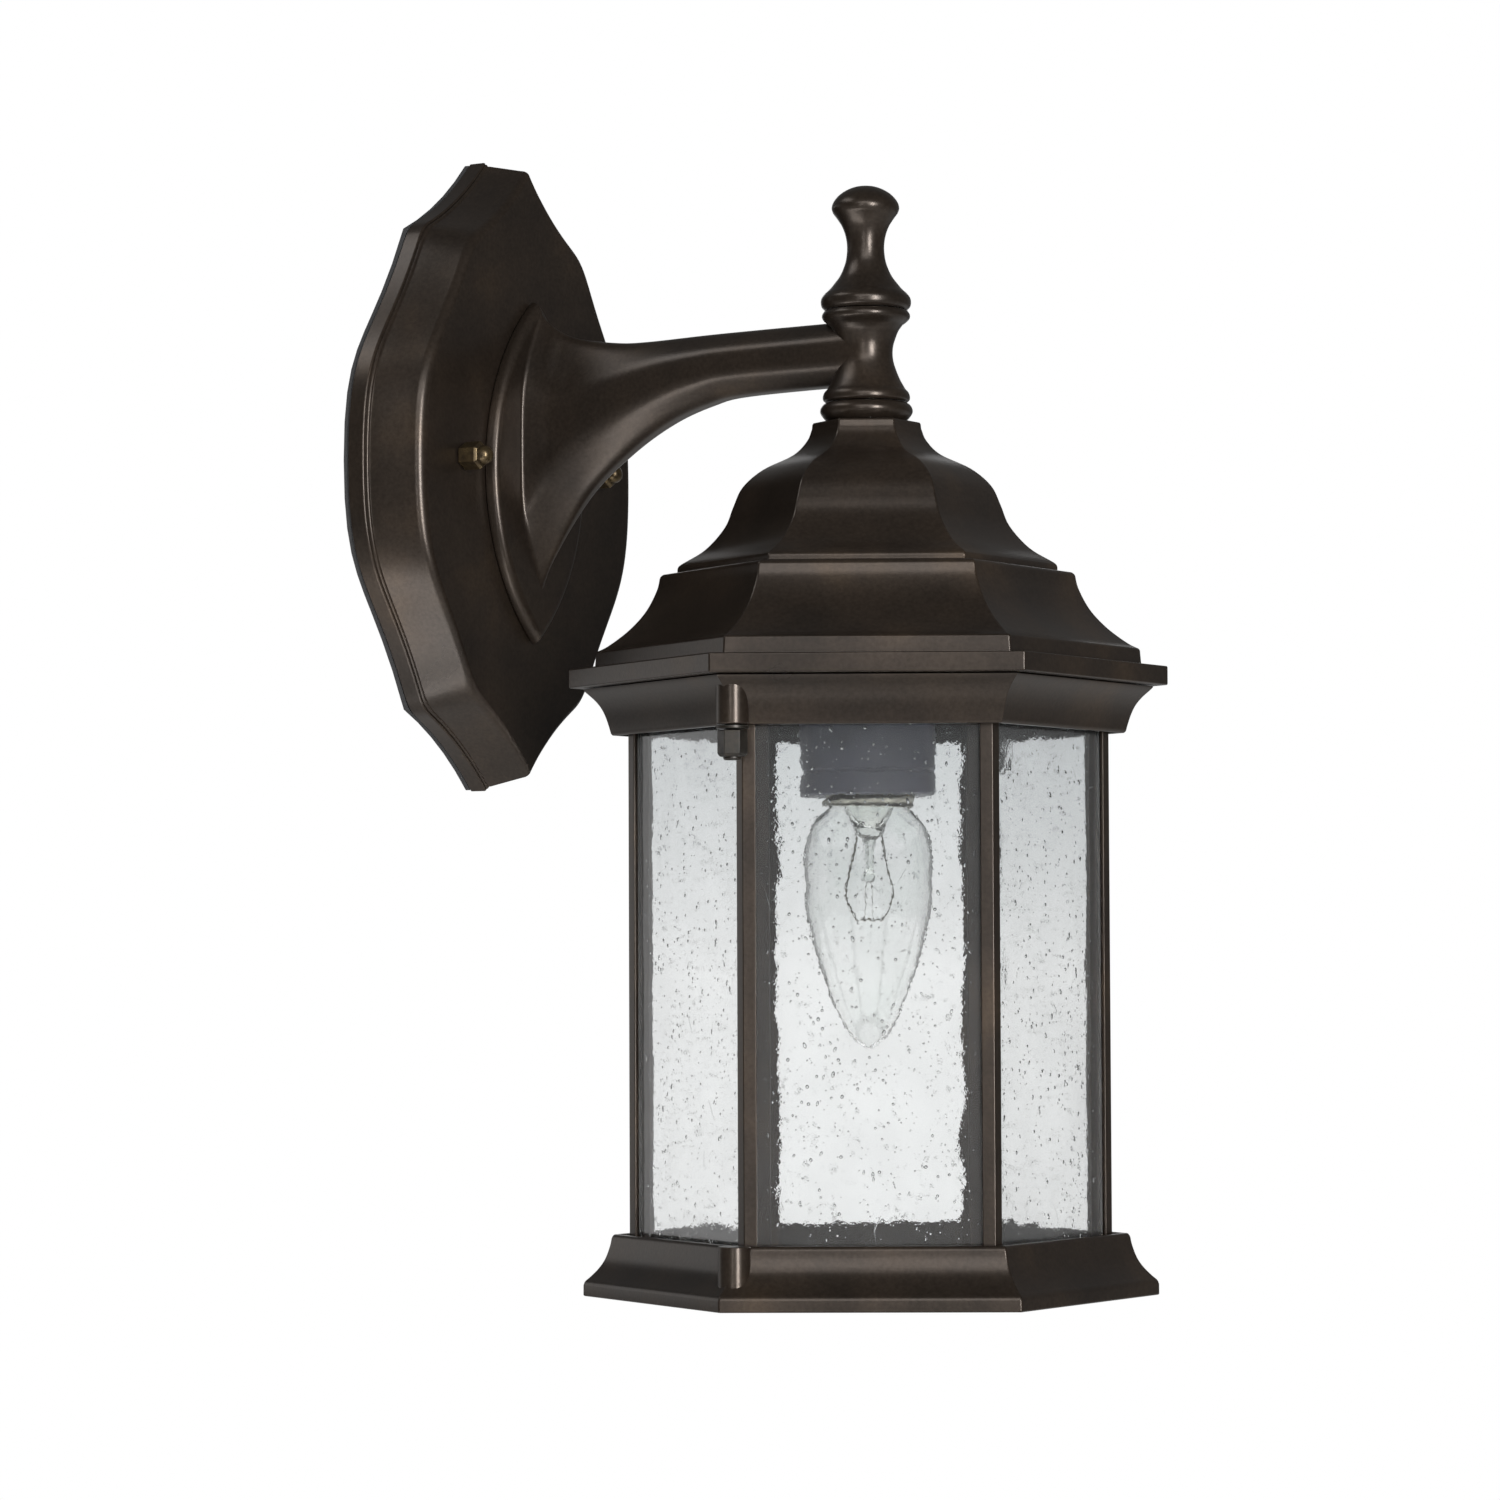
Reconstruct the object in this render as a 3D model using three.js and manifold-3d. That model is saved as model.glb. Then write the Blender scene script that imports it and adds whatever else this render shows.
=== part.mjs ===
// Outdoor wall lantern with an arm, a hexagonal roof and a glazed cage.
// Millimetres, +Z up. The wall is the plane Y = 0, the lantern stands out along -Y, and the
// origin is the middle of the backplate on the wall.
import * as THREE from 'three';
import { mergeVertices } from 'three/addons/utils/BufferGeometryUtils.js';
import Module from 'manifold-3d';

const wasm = await Module();
wasm.setup();

// ---- sizes that drive the rest -------------------------------------------------------------
const GAP = 0.3;                    // clearance between two pieces that are fitted together

const GASKET_T = 1.5;               // foam strip between the backplate and the wall
const PLATE_H = 183.4;               // backplate rim, apex to apex
const PLATE_W = 121;                // backplate rim, across the belly
const PLATE_D = 21;                 // backplate, front face to rim back
const PLATE_DRAFT = 5.9;            // how far the front face is drawn in from the rim
const PLATE_WALL = 2.5;
const RIM_T = 4.2;                  // thickness of the rim's edge
const STUD_X = 33.5;                // wall studs, either side of the middle
const STUD_Z = 2;

const REACH = 135.4;                // wall to the lantern's axis
const ARM_TOP = 36.3;               // arm's top edge near the hub
const ARM_DEPTH = 18.2;             // arm's height near the hub
const ARM_HALF_W = 8.6;             // half of the arm's width in the middle of its run
const PAD_H = 99;                   // pointed oval pad, tip to tip
const PAD_W = 47;
const PAD_T = 3.8;

const ROOF_R = 83;                  // fascia, axis to corner
const ROOF_TOP_Z = 7.8;             // the small flat the collar stands on
const FASCIA_H = 5.3;
const ROOF_H = 73.4;                // top flat to fascia bottom
const POST_R = 66.5;                // corner posts, axis to outside corner
const CAGE_H = 167.6;               // skirt top to base bottom
const SKIRT_H = 12.9;
const BASE_H = 17;
const GLASS_T = 2.4;

const PIPE_R = 4.8;                 // threaded pipe, outside
const PIPE_BORE = 3.2;
const STUD_R = 1.9;                 // every small stud
const NUT_AF = 7;                   // every cap nut, across flats
const SOCKET_R = 18.75;
const SOCKET_H = 48;
const BULB_R = 17.6;                // bulb at its widest
const BULB_CAP_R = 12.9;
const BULB_TIP_Z = -165.6;
const LEAD_R = 1.0;

// ---- sizes that follow ---------------------------------------------------------------------
const PLATE_BACK = -(GASKET_T + GAP);
const PLATE_FRONT = PLATE_BACK - PLATE_D;
const FASCIA_BOT = ROOF_TOP_Z - ROOF_H;
const FASCIA_TOP = FASCIA_BOT + FASCIA_H;
const SKIRT_TOP = FASCIA_BOT - GAP;
const SKIRT_BOT = SKIRT_TOP - SKIRT_H;
const BASE_BOT = SKIRT_TOP - CAGE_H;
const BASE_TOP = BASE_BOT + BASE_H;
const BORE_R = PIPE_R + GAP;
const STUD_BORE = STUD_R + GAP;
const NUT_R = NUT_AF / Math.sqrt(3);
const BOSS_R = 4.4;
const RING_GAP = 3;                 // room for the posts' corners inside the skirt and base
const BOSS_AT = POST_R + GAP + BOSS_R + 0.2;
const COS30 = Math.cos(Math.PI / 6);
const ARM_BOT = ARM_TOP - ARM_DEPTH;
const ARM_MID = (ARM_TOP + ARM_BOT) / 2;
const PAD_BACK = PLATE_FRONT - GAP;
const PAD_FRONT = PAD_BACK - PAD_T;
const RING_R = POST_R + RING_GAP;   // inner wall of the skirt and base, outside the posts
const SOCKET_BOT = SKIRT_BOT - 17.2;
const SOCKET_TOP = SOCKET_BOT + SOCKET_H;

// ---- materials -----------------------------------------------------------------------------
const mat = (name, color, metalness, roughness, extra = {}) => {
  const m = new THREE.MeshStandardMaterial({ color, metalness, roughness, ...extra });
  m.name = name;
  return m;
};
const bronze = () => mat('bronze_paint', 0x332c27, 0.35, 0.5);
const nutPaint = () => mat('nut_paint', 0x3a3225, 0.5, 0.4);
const zinc = () => mat('zinc_steel', 0x9a9c9e, 0.9, 0.4);
const brass = () => mat('brass', 0xb08d4c, 0.95, 0.35);
const clear = (name) => mat(name, 0xe8efee, 0, 0.05, { transparent: true, opacity: 0.35 });

// ---- making closed bodies ------------------------------------------------------------------
const group = new THREE.Group();
group.name = 'outdoor_wall_lantern';

function add(name, geometry, material) {
  const mesh = new THREE.Mesh(geometry, material);
  mesh.name = name;
  group.add(mesh);
  return mesh;
}

// A closed body through rings of points. Every ring has the same count, except that the first
// and last may be one single point. With wrap the last ring joins the first.
function skin(rings, wrap = false) {
  const pos = [];
  const start = [];
  for (const ring of rings) {
    start.push(pos.length / 3);
    for (const p of ring) pos.push(p[0], p[1], p[2]);
  }
  const n = Math.max(...rings.map((r) => r.length));
  const tri = [];
  const last = wrap ? rings.length : rings.length - 1;
  for (let i = 0; i < last; i += 1) {
    const j = (i + 1) % rings.length;
    for (let k = 0; k < n; k += 1) {
      const k2 = (k + 1) % n;
      const a = start[i] + (rings[i].length === 1 ? 0 : k);
      const b = start[i] + (rings[i].length === 1 ? 0 : k2);
      const c = start[j] + (rings[j].length === 1 ? 0 : k2);
      const d = start[j] + (rings[j].length === 1 ? 0 : k);
      if (a !== b) tri.push(a, b, c);
      if (c !== d) tri.push(a, c, d);
    }
  }
  return outward(pos, tri);
}

// Turns the triangles over if the body came out inside out.
function outward(pos, tri) {
  let v = 0;
  for (let i = 0; i < tri.length; i += 3) {
    const [a, b, c] = [tri[i] * 3, tri[i + 1] * 3, tri[i + 2] * 3];
    v += pos[a] * (pos[b + 1] * pos[c + 2] - pos[b + 2] * pos[c + 1])
      - pos[a + 1] * (pos[b] * pos[c + 2] - pos[b + 2] * pos[c])
      + pos[a + 2] * (pos[b] * pos[c + 1] - pos[b + 1] * pos[c]);
  }
  const out = v >= 0 ? tri : tri.slice().reverse();
  const g = new THREE.BufferGeometry();
  g.setAttribute('position', new THREE.Float32BufferAttribute(pos, 3));
  g.setIndex(out);
  g.computeVertexNormals();
  return g;
}

// A turned body about Z: the profile starts and ends on the axis, or closes on itself.
function turn(profile, segments = 32, wrap = false) {
  const ring = ([r, z]) => {
    if (r < 1e-6) return [[0, 0, z]];
    const out = [];
    for (let k = 0; k < segments; k += 1) {
      const a = (k / segments) * Math.PI * 2;
      out.push([r * Math.cos(a), r * Math.sin(a), z]);
    }
    return out;
  };
  return skin(profile.map(ring), wrap);
}

// A six-sided body about Z from a profile of corner radii.
const hexTurn = (profile, wrap = true) => turn(profile, 6, wrap);
const rod = (r, z0, z1, segments = 24) => turn([[0, z0], [r, z0], [r, z1], [0, z1]], segments);
const tube = (r, bore, z0, z1, segments = 28) =>
  turn([[r, z0], [r, z1], [bore, z1], [bore, z0]], segments, true);
const put = (g, x, y, z) => g.clone().translate(x, y, z);
const onAxis = (g) => put(g, 0, -REACH, 0);
const toFront = (g) => g.clone().rotateX(Math.PI / 2);   // a body about Z, laid along -Y

// A straight prism along Z from a polygon.
const prism = (poly, z0, z1) => {
  const shape = new THREE.Shape(poly.map(([x, y]) => new THREE.Vector2(x, y)));
  const g = new THREE.ExtrudeGeometry(shape, { depth: z1 - z0, bevelEnabled: false, steps: 1 });
  return g.translate(0, 0, z0);
};

function solid(g) {
  const p = new THREE.BufferGeometry();
  p.setAttribute('position', g.getAttribute('position').clone());
  if (g.index) p.setIndex(g.index.clone());
  const m = mergeVertices(p, 1e-4);
  return new wasm.Manifold(new wasm.Mesh({
    numProp: 3,
    vertProperties: new Float32Array(m.getAttribute('position').array),
    triVerts: new Uint32Array(m.index.array),
  }));
}
function unsolid(s) {
  const m = s.getMesh();
  const g = new THREE.BufferGeometry();
  g.setAttribute('position', new THREE.Float32BufferAttribute(m.vertProperties, 3));
  g.setIndex(Array.from(m.triVerts));
  g.computeVertexNormals();
  return g;
}
const cut = (g, ...tools) => unsolid(tools.reduce((a, t) => a.subtract(solid(t)), solid(g)));
const join = (g, ...more) => unsolid(more.reduce((a, t) => a.add(solid(t)), solid(g)));

// A smooth row of points through a few.
const smooth = (points, n) => new THREE.CatmullRomCurve3(
  points.map(([x, y]) => new THREE.Vector3(x, y, 0)), false, 'centripetal',
).getPoints(n).map((p) => [p.x, p.y]);

// ---- backplate -----------------------------------------------------------------------------
// One quarter of the outline as a belly curve and a hollow sweep up to the apex, then mirrored.
function plateOutline(w, h, shoulderX, shoulderZ, sag) {
  const belly = new THREE.CubicBezierCurve(
    new THREE.Vector2(w, 0), new THREE.Vector2(w, 0.4 * h),
    new THREE.Vector2(shoulderX + 0.289 * w, shoulderZ - 0.612 * w),
    new THREE.Vector2(shoulderX, shoulderZ),
  ).getPoints(9).map((p) => [p.x, p.y]);
  const sweep = [];
  const len = Math.hypot(shoulderX, h - shoulderZ);
  const nx = -(h - shoulderZ) / len;
  const nz = -shoulderX / len;
  for (let i = 1; i <= 5; i += 1) {
    const t = i / 5;
    const s = sag * 4 * t * (1 - t);
    sweep.push([shoulderX * (1 - t) + nx * s, shoulderZ + (h - shoulderZ) * t + nz * s]);
  }
  const q1 = belly.concat(sweep);
  const q2 = q1.slice(0, -1).reverse().map(([x, z]) => [-x, z]);
  const upper = q1.concat(q2);
  const lower = upper.slice(1, -1).reverse().map(([x, z]) => [x, -z]);
  return upper.concat(lower);
}
const rimRing = (inset) => plateOutline(
  PLATE_W / 2 - inset, PLATE_H / 2 - inset * 0.62,
  PLATE_W * 0.258 - inset * 0.4, PLATE_H * 0.379 - inset * 0.65, 1.9,
);
const at = (ring, y) => ring.map(([x, z]) => [x, y, z]);
const inner = PLATE_WALL;
let plate = skin([
  [[0, PLATE_FRONT, 0]],
  at(rimRing(PLATE_DRAFT + 1.6), PLATE_FRONT),
  at(rimRing(PLATE_DRAFT), PLATE_FRONT + 1.6),
  at(rimRing(2.6), PLATE_BACK - RIM_T - 0.6),
  at(rimRing(1.4), PLATE_BACK - RIM_T),
  at(rimRing(0), PLATE_BACK - RIM_T + 1.2),
  at(rimRing(0), PLATE_BACK),
  at(rimRing(2.6 + inner), PLATE_BACK),
  at(rimRing(PLATE_DRAFT + inner), PLATE_FRONT + inner),
  [[0, PLATE_FRONT + inner, 0]],
]);
const ALONG = (x, z, g) => put(toFront(g), x, 0, z);
const drill = (x, z, r, y0, y1, n = 24) => ALONG(x, z, rod(r, -y0, -y1, n));
plate = cut(plate,
  drill(0, 0, BORE_R, PLATE_FRONT - 2, PLATE_FRONT + inner + 2),
  drill(STUD_X, STUD_Z, STUD_BORE, PLATE_FRONT - 2, PLATE_FRONT + inner + 2),
  drill(-STUD_X, STUD_Z, STUD_BORE, PLATE_FRONT - 2, PLATE_FRONT + inner + 2));
add('backplate', plate, bronze());

add('gasket', skin([
  at(rimRing(0.6), -GASKET_T), at(rimRing(0.6), 0), at(rimRing(8), 0), at(rimRing(8), -GASKET_T),
], true), mat('foam', 0x2a2a2a, 0, 0.95));

// Crossbar: a steel strap with a hole for each stud and for the ground screw.
const BAR_T = 1.6;
const BAR_L = 2 * STUD_X + 22;
const BAR_W = 16;
const GROUND_X = 14;
const bar = new THREE.BoxGeometry(BAR_L, BAR_T, BAR_W).translate(0, -BAR_T / 2, STUD_Z);
add('crossbar', cut(bar,
  drill(STUD_X, STUD_Z, STUD_BORE, -3, 1), drill(-STUD_X, STUD_Z, STUD_BORE, -3, 1),
  drill(GROUND_X, STUD_Z, 1.7 + GAP, -3, 1)), zinc());

const STUD_TIP = PLATE_FRONT - 7.2;
for (const [side, s] of [['left', -1], ['right', 1]]) {
  const stud = turn([
    [0, 0.3], [STUD_R, 0.3], [STUD_R, BAR_T + GAP], [3.8, BAR_T + GAP], [3.8, BAR_T + GAP + 2],
    [STUD_R, BAR_T + GAP + 2], [STUD_R, -STUD_TIP - 0.6], [STUD_R - 0.6, -STUD_TIP],
    [0, -STUD_TIP],
  ], 16);
  add(`wall_stud_${side}`, put(toFront(stud), s * STUD_X, 0, STUD_Z), zinc());
}

// A cap nut about Z: hexagon, chamfered shoulder, low dome, blind bore from the bottom.
function capNut(hexH, domeH) {
  const n = 24;
  const ring = (scale, round, z) => {
    const out = [];
    for (let k = 0; k < n; k += 1) {
      const a = (k / n) * Math.PI * 2;
      const f = ((a + Math.PI / 6) % (Math.PI / 3)) - Math.PI / 6;
      const hex = NUT_AF / 2 / Math.cos(Math.abs(f) > 1e-9 ? Math.PI / 6 - Math.abs(f) : Math.PI / 6);
      const r = (hex * (1 - round) + (NUT_AF / 2) * round) * scale;
      out.push([r * Math.cos(a), r * Math.sin(a), z]);
    }
    return out;
  };
  const top = hexH + domeH;
  const circ = (r, z) => Array.from({ length: n }, (_, k) => {
    const a = (k / n) * Math.PI * 2;
    return [r * Math.cos(a), r * Math.sin(a), z];
  });
  return skin([
    [[0, 0, top]], circ(NUT_AF * 0.2, top - 0.25 * domeH), circ(NUT_AF * 0.42, top - 0.62 * domeH),
    ring(0.97, 1, hexH), ring(1, 0, hexH - 0.9), ring(1, 0, 0.5), ring(0.96, 0.6, 0),
    circ(STUD_BORE, 0), circ(STUD_BORE, top - 1.4), [[0, 0, top - 1.1]],
  ]);
}
const WALL_NUT = capNut(6.2, 3.2).rotateZ(Math.PI / 6);
for (const [side, s] of [['left', -1], ['right', 1]]) {
  add(`wall_nut_${side}`,
    put(toFront(WALL_NUT), s * STUD_X, PLATE_FRONT - GAP, STUD_Z), nutPaint());
}

add('ground_screw', put(toFront(turn([
  [0, 0.2], [1.7, 0.2], [1.7, BAR_T + GAP], [3.6, BAR_T + GAP], [3.6, BAR_T + GAP + 1.4],
  [2.4, BAR_T + GAP + 2.1], [0, BAR_T + GAP + 2.3],
], 20)), GROUND_X, 0, STUD_Z), mat('green_screw', 0x2f6b3a, 0.6, 0.4));

// ---- arm -----------------------------------------------------------------------------------
// The arm is a row of eight-cornered sections from the pad to the hub. top and bottom give its
// side view, width how thick it is, and the corners are cut back by more near the root.
const lerp = (table, y) => {
  for (let i = 1; i < table.length; i += 1) {
    if (y >= table[i][0]) {
      const [y0, v0] = table[i - 1];
      const [y1, v1] = table[i];
      return v0 + ((y - y0) / (y1 - y0)) * (v1 - v0);
    }
  }
  return table[table.length - 1][1];
};
const TOP_EDGE = smooth([[PAD_FRONT + 2, PAD_H / 2 - 1.5], [PAD_FRONT - 4, ARM_TOP + 5.7],
  [PAD_FRONT - 11.8, ARM_TOP + 1.9], [PAD_FRONT - 25.1, ARM_TOP - 0.5],
  [PAD_FRONT - 37.1, ARM_TOP - 1.1], [-REACH + 45.4, ARM_TOP - 0.5], [-REACH, ARM_TOP]], 40);
const BOT_EDGE = smooth([[PAD_FRONT + 2, 12 - PAD_H / 2], [PAD_FRONT - 4.5, 25 - PAD_H / 2],
  [PAD_FRONT - 16.7, ARM_BOT - 25.9], [PAD_FRONT - 30.5, ARM_BOT - 14.7],
  [PAD_FRONT - 44.1, ARM_BOT - 6.9], [-REACH + 51, ARM_BOT - 2.4],
  [-REACH + 38.4, ARM_BOT - 0.5], [-REACH, ARM_BOT + 0.3]], 40);
const HALF_W = [[PAD_FRONT + 2, 10.5], [PAD_FRONT - 8, ARM_HALF_W + 0.6], [-80, ARM_HALF_W],
  [-REACH, ARM_HALF_W - 1.2]];
const CORNER = [[PAD_FRONT + 2, 1], [PAD_FRONT - 14, 0.75], [-70, 0.58], [-REACH, 0.55]];
function armRing(y) {
  const t = lerp(TOP_EDGE, y);
  const b = lerp(BOT_EDGE, y);
  const w = lerp(HALF_W, y);
  const c = lerp(CORNER, y);
  const rise = Math.min(0.3 + (c - 0.55) * 0.25, 0.42) * (t - b);
  const flat = w * Math.max(1.02 - c, 0.06) * 0.8;
  return [[flat, y, t], [w, y, t - rise], [w, y, b + rise], [flat, y, b],
    [-flat, y, b], [-w, y, b + rise], [-w, y, t - rise], [-flat, y, t]];
}
const stations = [];
for (let i = 0; i <= 22; i += 1) {
  stations.push(PAD_FRONT + 1 - (REACH + PAD_FRONT + 1) * (i / 22) ** 1.25);
}
const armRings = stations.map(armRing);
const mean = (ring) => [0, ring[0][1], (ring[0][2] + ring[3][2]) / 2];
const armBody = skin([[mean(armRings[0])], ...armRings, [mean(armRings[armRings.length - 1])]]);

// Pointed oval pad: two arcs meeting in a point at the top and the bottom.
function vesica(w, h) {
  const r = (h * h + w * w) / (4 * w);
  const half = Math.asin(h / 2 / r);
  const out = [];
  for (const s of [1, -1]) {
    for (let i = 0; i < 12; i += 1) {
      const a = half * (1 - (2 * i) / 12);
      out.push([s * (r * Math.cos(a) - (r - w / 2)), s * r * Math.sin(a) * 1]);
    }
  }
  return out.reverse();
}
const padRing = (inset, y) => vesica(PAD_W - 2 * inset, PAD_H - 3.2 * inset)
  .map(([x, z]) => [x, y, z]);
const pad = skin([
  [[0, PAD_BACK, 0]], padRing(0.4, PAD_BACK), padRing(0, PAD_BACK - 0.6),
  padRing(0.6, PAD_FRONT + 1.8), padRing(2.2, PAD_FRONT), [[0, PAD_FRONT, 0]],
]);

// Hub: turned outside, standing on the axis.
const HUB_BOT = 13.4;
const HUB_TOP = ARM_TOP + 2.5;
const hub = turn([
  [0, HUB_BOT], [11.3, HUB_BOT], [12.05, HUB_BOT + 0.7], [12.05, HUB_BOT + 2.2],
  [11.3, HUB_BOT + 3.4], [9.55, HUB_BOT + 6.1], [8.45, ARM_MID - 5.2], [7.6, ARM_MID - 2.5],
  [7.35, ARM_MID], [7.6, ARM_MID + 2.2], [8.2, HUB_TOP - 7.5], [9, HUB_TOP - 5.5],
  [10.1, HUB_TOP - 3.8], [11.5, HUB_TOP - 2.6], [12.2, HUB_TOP - 1.8], [12.2, HUB_TOP - 0.7],
  [11.6, HUB_TOP], [0, HUB_TOP],
], 28);

// The hollow the leads run through: along the arm, then down the hub.
const ROUTE = [[0, -4], [-0.1, PLATE_FRONT], [0, PAD_FRONT - 4], [6.5, PAD_FRONT - 16.1],
  [ARM_MID - 10.2, PAD_FRONT - 31.1], [ARM_MID - 3.6, PAD_FRONT - 49.1],
  [ARM_MID - 1, -REACH + 37.4], [ARM_MID - 0.3, -REACH + 17.4]];
const CHANNEL_R = 3.4;
const path3 = (pts) => new THREE.CatmullRomCurve3(pts, false, 'centripetal');
function pipeAlong(curve, r, steps, sides) {
  const shape = new THREE.Shape();
  for (let k = 0; k < sides; k += 1) {
    const a = (k / sides) * Math.PI * 2;
    if (k === 0) shape.moveTo(r, 0); else shape.lineTo(r * Math.cos(a), r * Math.sin(a));
  }
  return new THREE.ExtrudeGeometry(shape, { steps, bevelEnabled: false, extrudePath: curve });
}
const channelPts = ROUTE.slice(2).concat([[ARM_MID - 0.3, -REACH]])
  .map(([z, y]) => new THREE.Vector3(0, y, z));
const arm = cut(
  join(armBody, pad, onAxis(hub)),
  pipeAlong(path3(channelPts), CHANNEL_R, 16, 10),
  drill(0, 0, BORE_R, PAD_FRONT - 6, PAD_BACK + 1),
  onAxis(rod(BORE_R, HUB_BOT - 1, ARM_MID + 3.8)),
  onAxis(rod(3 + GAP, HUB_TOP - 5.6, HUB_TOP + 1)),
);
add('arm', arm, bronze());

// Threaded pipe that holds the pad to the backplate, with its washer and lock nut.
const PIPE_IN = 13;
add('arm_pipe', ALONG(0, 0, tube(PIPE_R, PIPE_BORE, PIPE_IN, -PAD_FRONT + 5)), zinc());
const WASHER_T = 1.2;
const inFront = PLATE_FRONT + PLATE_WALL + GAP;
add('arm_washer', ALONG(0, 0, tube(9, BORE_R, -inFront, -inFront - WASHER_T)), zinc());
const lockY = inFront + WASHER_T + GAP;
const LOCK_T = 3.4;
const hexNut = (r, bore, z0, z1) => cut(rod(r, z0, z1, 6), rod(bore, z0 - 1, z1 + 1, 24));
add('arm_lock_nut', ALONG(0, 0, hexNut(8, BORE_R, -lockY - LOCK_T, -lockY)), zinc());

// ---- finial, collar and centre pipe ----------------------------------------------------------
const FIN = HUB_TOP + GAP;
const finial = turn([
  [0, -5.5], [2.5, -5.5], [3, -5], [3, 0], [11.4, 0], [12.3, 0.9], [12.55, 2.2], [12.3, 3.4],
  [11.5, 4.4], [10.1, 5.8], [8.7, 7.5], [7.3, 9.4], [6.2, 11.7], [5.45, 14.2], [5.15, 17.5],
  [5.5, 20.5], [6.4, 23.2], [7.6, 25.2], [9, 27.1], [9.4, 28.4], [9.1, 29.8], [8.2, 31.2],
  [6.7, 32.6], [4.6, 33.8], [2.4, 34.5], [0, 34.7],
].map(([r, z]) => [r, FIN + z]), 28);
add('finial', onAxis(finial), bronze());

const COLLAR_BOT = ROOF_TOP_Z + GAP;
const COLLAR_TOP = HUB_BOT - GAP;
add('collar', onAxis(turn([
  [BORE_R, COLLAR_BOT], [11.2, COLLAR_BOT], [11.9, COLLAR_BOT + 1], [12.8, COLLAR_BOT + 2.4],
  [12.8, COLLAR_BOT + 3.6], [12.1, COLLAR_TOP - 0.5], [11.4, COLLAR_TOP], [BORE_R, COLLAR_TOP],
], 28, true)), bronze());

const PIPE_TOP = ARM_MID - 7.2;
const PIPE_END = SOCKET_TOP - 6;
add('centre_pipe', onAxis(tube(PIPE_R, PIPE_BORE, PIPE_END, PIPE_TOP)), zinc());

// ---- roof ----------------------------------------------------------------------------------
const DOME = smooth([[15.3, 6], [16.7, 2.7], [20.6, -1.2], [29, -5.2], [34.6, -10], [37.2, -15.4],
  [39.6, -21.2], [45, -27.3], [51.6, -31.3]], 20);
const TIER = smooth([[57.6, -34.8], [58.6, -38.8], [61.7, -44.6], [66.4, -49.7], [72, -53.9],
  [75.4, FASCIA_TOP + 4.7]], 11);
const UNDER = smooth([[BOSS_AT - 6.5, FASCIA_BOT + 8], [62, -52.5], [56, -43], [48.5, -34.5],
  [38, -25.5], [34.6, -17], [30.5, -10], [22, -5.4], [14.5, -2], [12.4, 0.5]], 18);
const FLOOR_R = BOSS_AT - 5.6;      // inside edge of the flat underside
const roofProfile = [
  [14.6, ROOF_TOP_Z], [15.3, ROOF_TOP_Z - 0.6], ...DOME, [52.8, -32.1], [52.8, -34],
  [56.4, -34.2], ...TIER, [75.8, FASCIA_TOP], [ROOF_R - 0.8, FASCIA_TOP - 0.1],
  [ROOF_R, FASCIA_TOP - 0.7], [ROOF_R, FASCIA_BOT + 0.4], [ROOF_R - 0.5, FASCIA_BOT],
  [FLOOR_R, FASCIA_BOT], [FLOOR_R, FASCIA_BOT + 5], ...UNDER,
];
const roofBody = hexTurn([[0, ROOF_TOP_Z], ...roofProfile, [12.2, 4.6], [0, 4.6]], false);
const sides = [['left', Math.PI], ['right', 0]];
const STUD_TOP = FASCIA_BOT + 6;
const studHoles = sides.map(([, a]) => put(rod(STUD_BORE, FASCIA_BOT - 1, STUD_TOP + GAP, 16),
  BOSS_AT * Math.cos(a), -REACH, 0));
add('roof', cut(onAxis(roofBody), onAxis(rod(BORE_R, -6, ROOF_TOP_Z + 2)), ...studHoles), bronze());

add('roof_nut', onAxis(hexNut(9, BORE_R, 0.8, 4.2)), zinc());

// ---- cage ----------------------------------------------------------------------------------
const WASHER_Z = SKIRT_BOT - GAP;
const NUT_Z = WASHER_Z - 0.9 - GAP;
const cageStud = rod(STUD_R, NUT_Z - 6, STUD_TOP, 16);
for (const [side, a] of sides) {
  add(`cage_stud_${side}`, put(cageStud, BOSS_AT * Math.cos(a), -REACH, 0), zinc());
}

const boss = (z0, z1) => sides.map(([, a]) =>
  put(rod(BOSS_R, z0, z1, 24), BOSS_AT * Math.cos(a), -REACH, 0));
const LEDGE_R = RING_R - 9.5;
const skirt = hexTurn([
  [79, SKIRT_TOP], [78.4, SKIRT_TOP - 0.8], [75.8, SKIRT_TOP - 3.1], [74, SKIRT_TOP - 5.3],
  [72.8, SKIRT_TOP - 7.7], [71.9, SKIRT_TOP - 10.3], [71.3, SKIRT_BOT + 0.5], [70.8, SKIRT_BOT],
  [RING_R, SKIRT_BOT], [RING_R, SKIRT_TOP - 3.4], [LEDGE_R, SKIRT_TOP - 3.4],
  [LEDGE_R, SKIRT_TOP],
]);
const skirtHoles = sides.map(([, a]) => put(rod(STUD_BORE, SKIRT_BOT - 2, SKIRT_TOP + 2, 24),
  BOSS_AT * Math.cos(a), -REACH, 0));
add('skirt', cut(join(onAxis(skirt), ...boss(SKIRT_BOT, SKIRT_TOP - 2)), ...skirtHoles), bronze());

const BASE_LEDGE = BASE_BOT + 3.4;
const base = hexTurn([
  [70.8, BASE_TOP], [71.5, BASE_TOP - 0.7], [72.1, BASE_TOP - 3.4], [73.4, BASE_TOP - 6.8],
  [75.2, BASE_TOP - 9.4], [77.4, BASE_TOP - 11.6], [78.9, BASE_TOP - 12.9],
  [79.4, BASE_TOP - 14], [79.4, BASE_BOT + 0.9], [78.6, BASE_BOT], [LEDGE_R, BASE_BOT],
  [LEDGE_R, BASE_LEDGE], [RING_R, BASE_LEDGE], [RING_R, BASE_TOP],
]);
add('base', join(onAxis(base), ...boss(BASE_BOT + 1, BASE_TOP)), bronze());

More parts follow.
